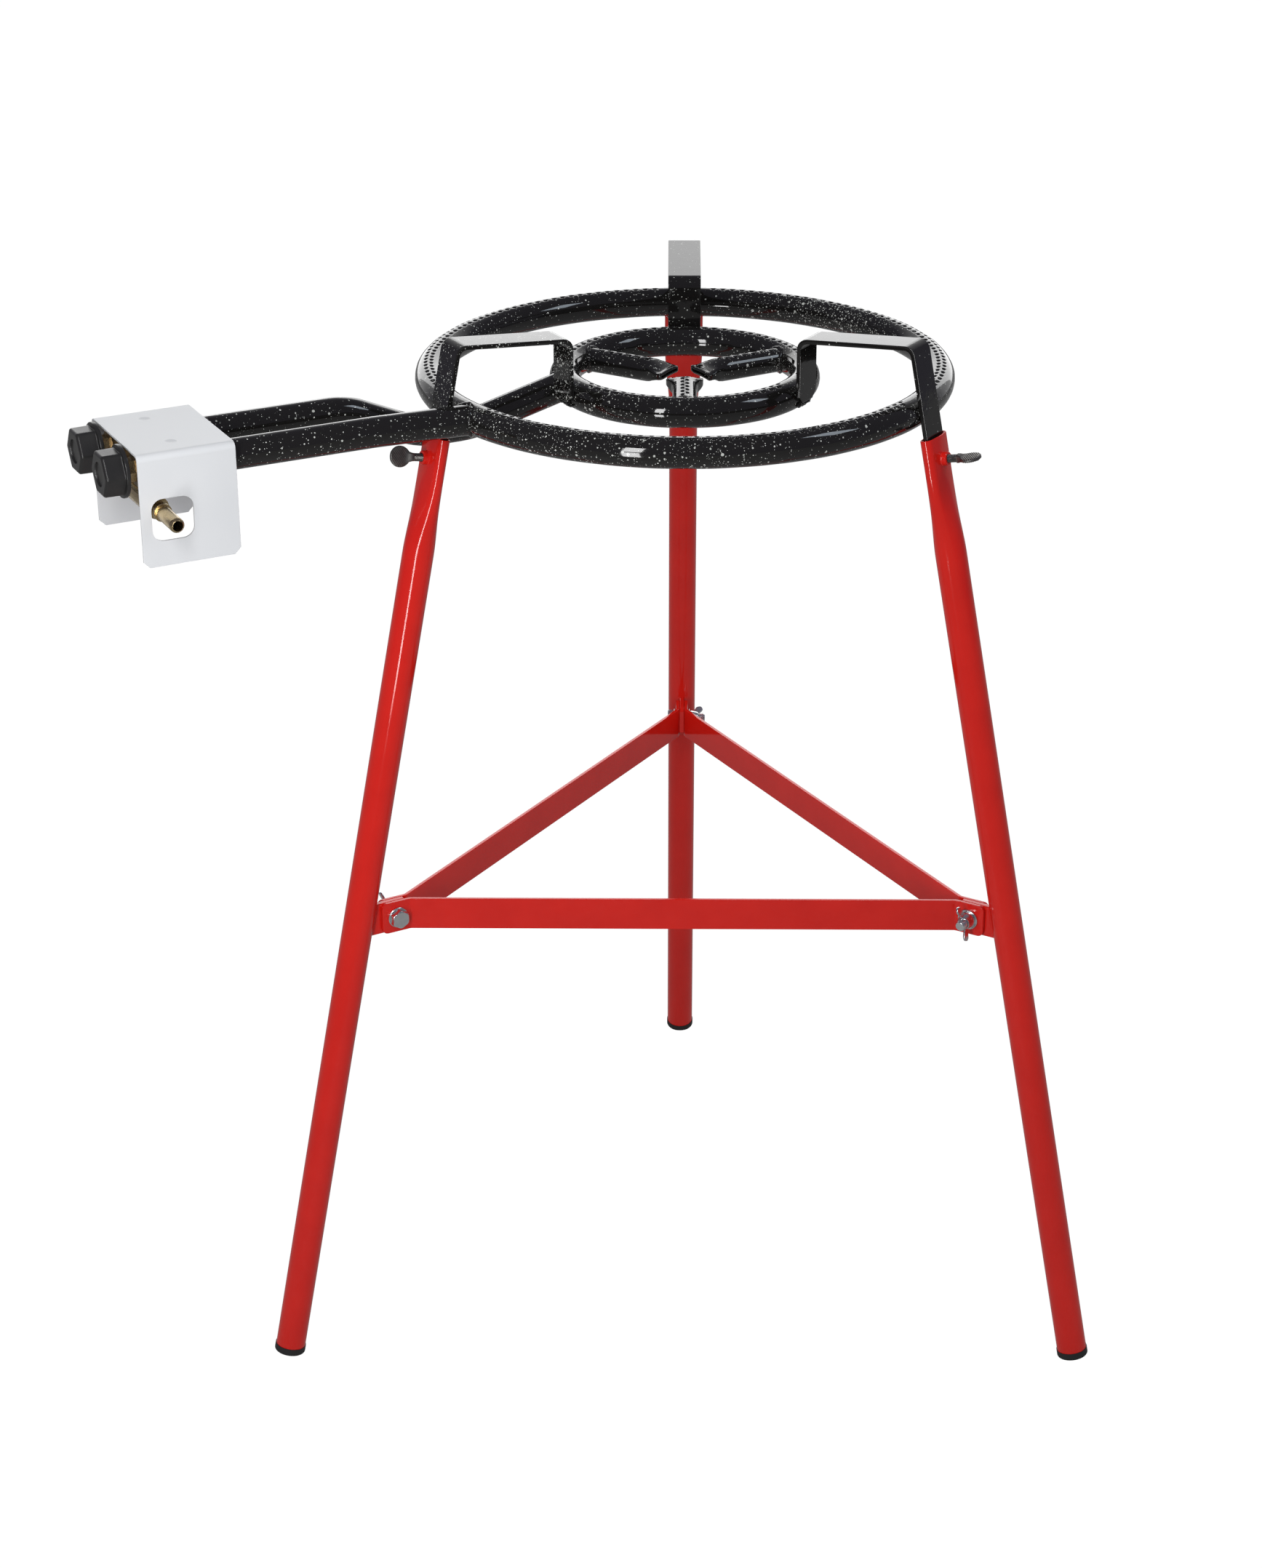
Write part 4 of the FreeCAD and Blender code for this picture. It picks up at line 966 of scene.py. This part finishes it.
ends = [(run, max(cover_corner - run, 0), cut) for run, cut in sheet_edge]
ends += [(run, cover_corner - run, 0) for run in (1.5, 3.0, 4.5)]
cover_rows = [cover_outline(cover_low.x + run, raised, cut) for run, raised, cut in ends]
cover_rows.append(cover_outline((cover_low.x + cover_high.x) / 2, 0, 0))
cover_rows += [cover_outline(cover_high.x - run, raised, cut) for run, raised, cut in reversed(ends)]
window_outline = bar_outline(window_half, window_half, window_corner, 7)
window = loft([[(window_along + a, side, window_level + b) for a, b in window_outline]
               for side in (cover_high.y - 6, cover_high.y + 4)])
bowl = []
for k in range(11):
    way = math.radians(3 * k)
    bowl.append((-dimple_radius * math.cos(way), dimple_radius * math.sin(way) + 0.001))
bowl_level = cover_high.z + dimple_radius - dimple_depth
bowls = [moved(lathe(bowl, 36), shift(dimple_along, side, bowl_level)) for side in feed_sides.values()]
cover_skin = carved(loft(cover_rows), joined(window, *bowls))
skin = moved(cover_skin, feed_axes)
piece("valve_cover_sheet", skin, "burner", paint_white, ["valve_cover"])
print("cover", [round(h - l, 1) for l, h in zip(cover_low, cover_high)], "faces", len(cover_skin[1]))

# %% [markdown]
# The knobs are black mouldings: a round skirt that hides the stem's hole, and a six-sided grip with soft
# corners. The hose barb is turned brass with a collar that stops the hose. Both are turned outlines,
# and in the grip the reach of the outline changes with the angle.


# %% Knobs and hose barb
def grip(half_flats, corner):
    """The reach of a hexagon with rounded corners, one of them towards X."""
    inner = half_flats - corner
    tip_reach = inner / math.cos(math.pi / 6)
    limit = math.atan2(inner * math.tan(math.pi / 6), half_flats)

    def reach(way):
        off = abs(way % (math.pi / 3) - math.pi / 6)
        if off <= limit:
            return half_flats / math.cos(off)
        left = math.pi / 6 - off
        return tip_reach * math.cos(left) + math.sqrt(corner ** 2 - (tip_reach * math.sin(left)) ** 2)
    return reach


along_feed = Matrix(((0, 0, 1, 0), (1, 0, 0, 0), (0, 1, 0, 0), (0, 0, 0, 1)))
knob_length, knob_rounding, knob_half_flats, knob_corner, knob_level = 17, 2, 14.6, 3, 1.9
knob_shoulder = knob_length - knob_rounding
knob_rim = [(4, 9.6), (0, 9.75), (0, 17.8), (0.2, 18.35), (0.75, 18.5), (2.3, 18.5), (2.8, 18.3),
            (3.0, 17.8)]
knob_rim += [(3.0, grip(15.55, 3.6)), (3.25, grip(15.0, 3.2)), (3.9, grip(14.75, knob_corner))]
knob_rim.append((knob_shoulder, grip(knob_half_flats, knob_corner)))
for k in range(1, 7):
    way = math.radians(15 * k)
    inset = knob_rounding * (1 - math.cos(way))
    knob_rim.append((knob_shoulder + knob_rounding * math.sin(way),
                     grip(knob_half_flats - inset, knob_corner - 0.8 * inset)))
for fall, reach in ((0, 8.9), (0.1, 8.6), (0.4, 8.45), (1.2, 8.3), (1.2, 0.2)):
    knob_rim.append((knob_length - fall, reach))
knob_skin = lathe(knob_rim, 120)
knob_low, knob_high = box_in(feed_axes, "outer_knob")
for kind, side in feed_sides.items():
    skin = moved(knob_skin, feed_axes @ shift(knob_low.x, side, knob_level) @ along_feed)
    piece(f"{kind}_knob_grip", skin, f"{kind}_control", plastic, [f"{kind}_knob"])

barb_along, barb_side, barb_level = 427, 44.99, -24
barb_rim = ((0, 3.5), (0, 5.5), (7.75, 5.5), (8, 5.75), (8, 6.25), (8.25, 6.5), (10.75, 6.5), (11, 6.25),
            (11, 5.2), (38, 5.2), (39.6, 5.1), (40.9, 3.9), (41, 3.7), (40.6, 3.5), (20, 3.5))
barb_axes = feed_axes @ shift(barb_along, barb_side, barb_level) @ turn(-90, "X")
barb_skin = moved(lathe(barb_rim, 48, True), barb_axes)
piece("hose_barb_turned", barb_skin, "burner", drawn_brass, ["hose_barb"])
print("knob base at", round(knob_low.x, 1), "length", round(knob_high.x - knob_low.x, 1))

# %% [markdown]
# Where tube meets tube there is a weld, ground off nowhere and enamelled over: a lumpy bead as thick as
# a pencil lead. The curve in which a feed tube or a stub meets a ring is found by walking along the
# tube's skin until the ring's skin is reached. The bead is then laid along that curve.


# %% Weld beads
def meeting(start, way, reach, radius, level, count=56):
    """The closed curve in which the skin of a straight tube runs into a ring."""
    side = way.cross(UP).normalized()
    rise = side.cross(way)
    curve = []
    for k in range(count):
        around = math.tau * k / count
        point = start + (side * math.cos(around) + rise * math.sin(around)) * reach
        step = 1.0
        while step > 0.02:
            further = point + way * step
            out = math.hypot(further.x, further.y) - radius
            past = out * (math.hypot(start.x, start.y) - radius) < 0
            if math.hypot(out, further.z - level) < tube_radius or past:
                step /= 2
            else:
                point = further
        curve.append(point)
    return curve


def bead(curve, about, radius, loop, seed):
    """A lumpy bead along a curve that never runs along about."""
    sections = []
    count = len(curve)
    for k, point in enumerate(curve):
        before = curve[k - 1] if loop or k else point
        after = curve[(k + 1) % count] if loop or k + 1 < count else point
        way = (after - before).normalized()
        side = way.cross(about).normalized()
        rise = side.cross(way)
        taper = 1 if loop else 0.35 + 0.65 * smooth(min(k, count - 1 - k) / 3)
        section = []
        for x, y, _ in ring_of(0, radius * taper, 12):
            place = point + side * x + rise * y
            lump = noise.noise(place / 2.6 + Vector((seed, 0, 0))) * 0.34
            lump += noise.noise(place / 1.1) * 0.10
            section.append(point + (place - point) * (1 + lump))
        sections.append(section)
    return loft(sections, loop)


# %% Welds of the burner
ALONG, ACROSS = Vector((1, 0, 0)), Vector((0, 1, 0))
feed_bead, stub_bead, bar_bead = 1.7, 1.5, 1.8
bar_bead_out, bar_bead_half, bar_bead_way = 11.8, 10.5, 25
# Where each feed tube's last run begins, how it goes on, and the ring that it meets
feed_runs = {"outer": ((215, 0.73), (-76.2, -1.9), outer_radius, 0),
             "inner": ((115, -10.17), (-78.4, 19.8), inner_radius, -3)}
welds = []
for kind, ((along, rise), (run, climb), radius, level) in feed_runs.items():
    way = Vector((run, 0, climb)).normalized()
    curve = meeting(Vector((along, feed_sides[kind], rise)), way, feed_radius, radius, level)
    welds.append(moved(bead(curve, way, feed_bead, True, 3), feed_axes))
stub_start = Vector((inner_radius - 30, 0, inner_level))
stub_curve = meeting(stub_start, ALONG, stub_radius, inner_radius, inner_level)
for azimuth in stub_azimuths.values():
    curve = [turn(azimuth) @ p for p in stub_curve]
    welds.append(bead(curve, turn(azimuth) @ ALONG, stub_bead, True, azimuth))
for azimuth in leg_azimuths.values():
    for radius, level, lean in ((inner_radius, inner_level, 0.0), (outer_radius, ring_level, leg_splay)):
        for sign in (-1, 1):
            way = lean + sign * math.radians(bar_bead_way)
            out, rise = radius + bar_bead_out * math.cos(way), level + bar_bead_out * math.sin(way)
            line = [turn(azimuth) @ Vector((out, k - bar_bead_half, rise)) for k in range(22)]
            welds.append(bead(line, UP, bar_bead, False, azimuth + level))
piece("burner_weld_beads", joined(*welds), "burner", thick_enamel, weighted=False)

# %% Welds of the lugs
lug_bead, lug_bead_side, lug_bead_half = 1.35, 2.3, 12
lug_bead_in = -(leg_radius - 0.05)
for name, azimuth in leg_azimuths.items():
    beads = []
    for side in (-lug_bead_side, lug_bead_side):
        foot = leg_axes @ Vector((lug_bead_in, side, 0))
        line = []
        for k in range(2 * lug_bead_half + 1):
            along = (brace_level - lug_bead_half + k - foot.z) / math.cos(leg_splay)
            line.append(turn(azimuth) @ (leg_axes @ Vector((lug_bead_in, side, along))))
        beads.append(bead(line, turn(azimuth) @ ACROSS, lug_bead, False, azimuth + side))
    painted(f"lug_{name}_weld", joined(*beads), f"{name}_leg", weighted=False)
print("weld beads", len(welds))

# %% [markdown]
# The rest of the measured solids are right as they are: the foot caps, the feed tubes with their air
# holes, the cover's posts, and the brass and steel parts inside the cover. They keep their shape and
# only take a finish.

# %% Finishes on the measured solids
kept = [(rubber, [f"foot_cap_{name}" for name in leg_azimuths]), (paint_white, ["cover_posts"]),
        (drawn_brass, ["gas_manifold", "manifold_plug"])]
for kind in feed_sides:
    kept.append((even_enamel, [f"{kind}_feed_tube"]))
    kept.append((cast_brass, [f"{kind}_valve_body"]))
    kept.append((drawn_brass, [f"{kind}_injector", f"{kind}_tap_plug", f"{kind}_gland_nut"]))
    kept.append((zinc, [f"{kind}_mixer_plug", f"{kind}_stem"]))
for finish, nodes in kept:
    for node in nodes:
        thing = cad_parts[node]
        if not thing.material_slots:
            thing.data.materials.append(finish)
        for place in thing.material_slots:
            place.link = "OBJECT"
            place.material = finish
print("pieces drawn", len(made), "solids kept", sum(len(nodes) for _, nodes in kept))

# %% [markdown]
# The photograph is a studio picture on white. Glossy black shows almost nothing but its surroundings, so
# the lamps stand where their reflections are in the photograph: two narrow softboxes at the front left,
# one above the other, a bluish window high on the right, and a bright backdrop behind. The floor only
# keeps a faint shadow. The camera stands well above the rings and looks down at the brace.

# %% Camera
camera_place = (-0.0092, -2.2471, 1.4383)
camera_pan, camera_tilt, camera_roll = 0.8, 24.533, -0.0024411
camera = placed("camera", bpy.data.cameras.new("camera"))
camera.data.lens = 72.0
camera.data.sensor_width = 36.0
aim = turn(camera_pan) @ turn(90 - camera_tilt, "X") @ Matrix.Rotation(camera_roll, 4, "Z")
camera.matrix_world = Matrix.Translation(camera_place) @ aim
scene.camera = camera

# %% Lamps
ring_middle = Vector((0, 0, ring_level * MM))


def softbox(name, way, distance, size, brightness, tint=(1, 1, 1)):
    """A rectangular lamp of a plain brightness, in a direction from the rings, turned to them."""
    lamp = bpy.data.lights.new(name, "AREA")
    lamp.shape = "RECTANGLE"
    lamp.size, lamp.size_y = size
    lamp.energy = brightness * math.pi * size[0] * size[1]
    lamp.color = tint
    thing = placed(name, lamp)
    thing.visible_camera = False
    place = ring_middle + Vector(way).normalized() * distance
    facing = (place - ring_middle).to_track_quat("Z", "Y").to_matrix().to_4x4()
    thing.matrix_world = Matrix.Translation(place) @ facing


def sky_way(azimuth, elevation):
    a, e = math.radians(azimuth), math.radians(elevation)
    return math.cos(a) * math.cos(e), math.sin(a) * math.cos(e), math.sin(e)


for name, elevation in (("front_left_above", 21.5), ("front_left_below", -6.5)):
    softbox(name, sky_way(250, elevation), 1.15, (0.14, 0.50), 15)
softbox("window_right", (0.68, -0.13, 0.72), 2.2, (0.5, 0.7), 5, (0.80, 0.90, 1))
softbox("bright_backdrop", sky_way(90, 11), 3.0, (4.0, 1.7), 1.4)

# %% Floor
floor_reach = 6.0
floor_corners = [(x * floor_reach, y * floor_reach, 0) for x, y in ((-1, -1), (1, -1), (1, 1), (-1, 1))]
floor_mesh = bpy.data.meshes.new("floor")
floor_mesh.from_pydata(floor_corners, [], [(0, 1, 2, 3)])
floor = placed("floor", floor_mesh)
floor_finish = Finish("white_floor", Roughness=0.9, Base_Color=(0.28, 0.28, 0.28, 1))
share = floor_finish.light_path("Is Camera Ray") * 0.93
share = share + floor_finish.light_path("Is Glossy Ray", "Is Transmission Ray") * 0.08
glow = floor_finish.node("ShaderNodeEmission", values={"Color": (1, 1, 1, 1), "Strength": 1.08})
lit = Flow(floor_finish, floor_finish.shader.outputs[0])
shown = floor_finish.node("ShaderNodeMixShader", values={0: share, 1: lit, 2: glow})
floor_finish.feed(floor_finish.tree.nodes["Material Output"].inputs["Surface"], shown)
floor_mesh.materials.append(floor_finish.material)

# %% Surroundings
scene.world = bpy.data.worlds.new("white_studio")
scene.world.use_nodes = True
sky = Network(scene.world.node_tree)
way = sky.node("ShaderNodeTexCoord", output="Generated")
behind = sky.node("ShaderNodeSeparateXYZ", values=[way], output=1)
above = sky.node("ShaderNodeSeparateXYZ", values=[way], output=2)
white, dark, pale = (1, 1, 1, 1), (0.14, 0.135, 0.17, 1), (0.9, 0.9, 0.9, 1)
shade = sky.node("ShaderNodeValToRGB", {"stops": [(0.80, dark), (0.93, pale)]}, [behind * 0.5 + 0.5])
fall = sky.node("ShaderNodeValToRGB", {"stops": [(0.72, white), (0.81, dark)]}, [above * 0.5 + 0.5])
shade = sky.mix(fall, dark, shade)
seen = sky.mix(sky.light_path("Is Glossy Ray"), (0.52, 0.52, 0.52, 1), shade)
seen = sky.mix(sky.light_path("Is Camera Ray"), seen, white)
sky.feed(sky.tree.nodes["Background"].inputs["Color"], seen)
scene.view_settings.view_transform = "Standard"
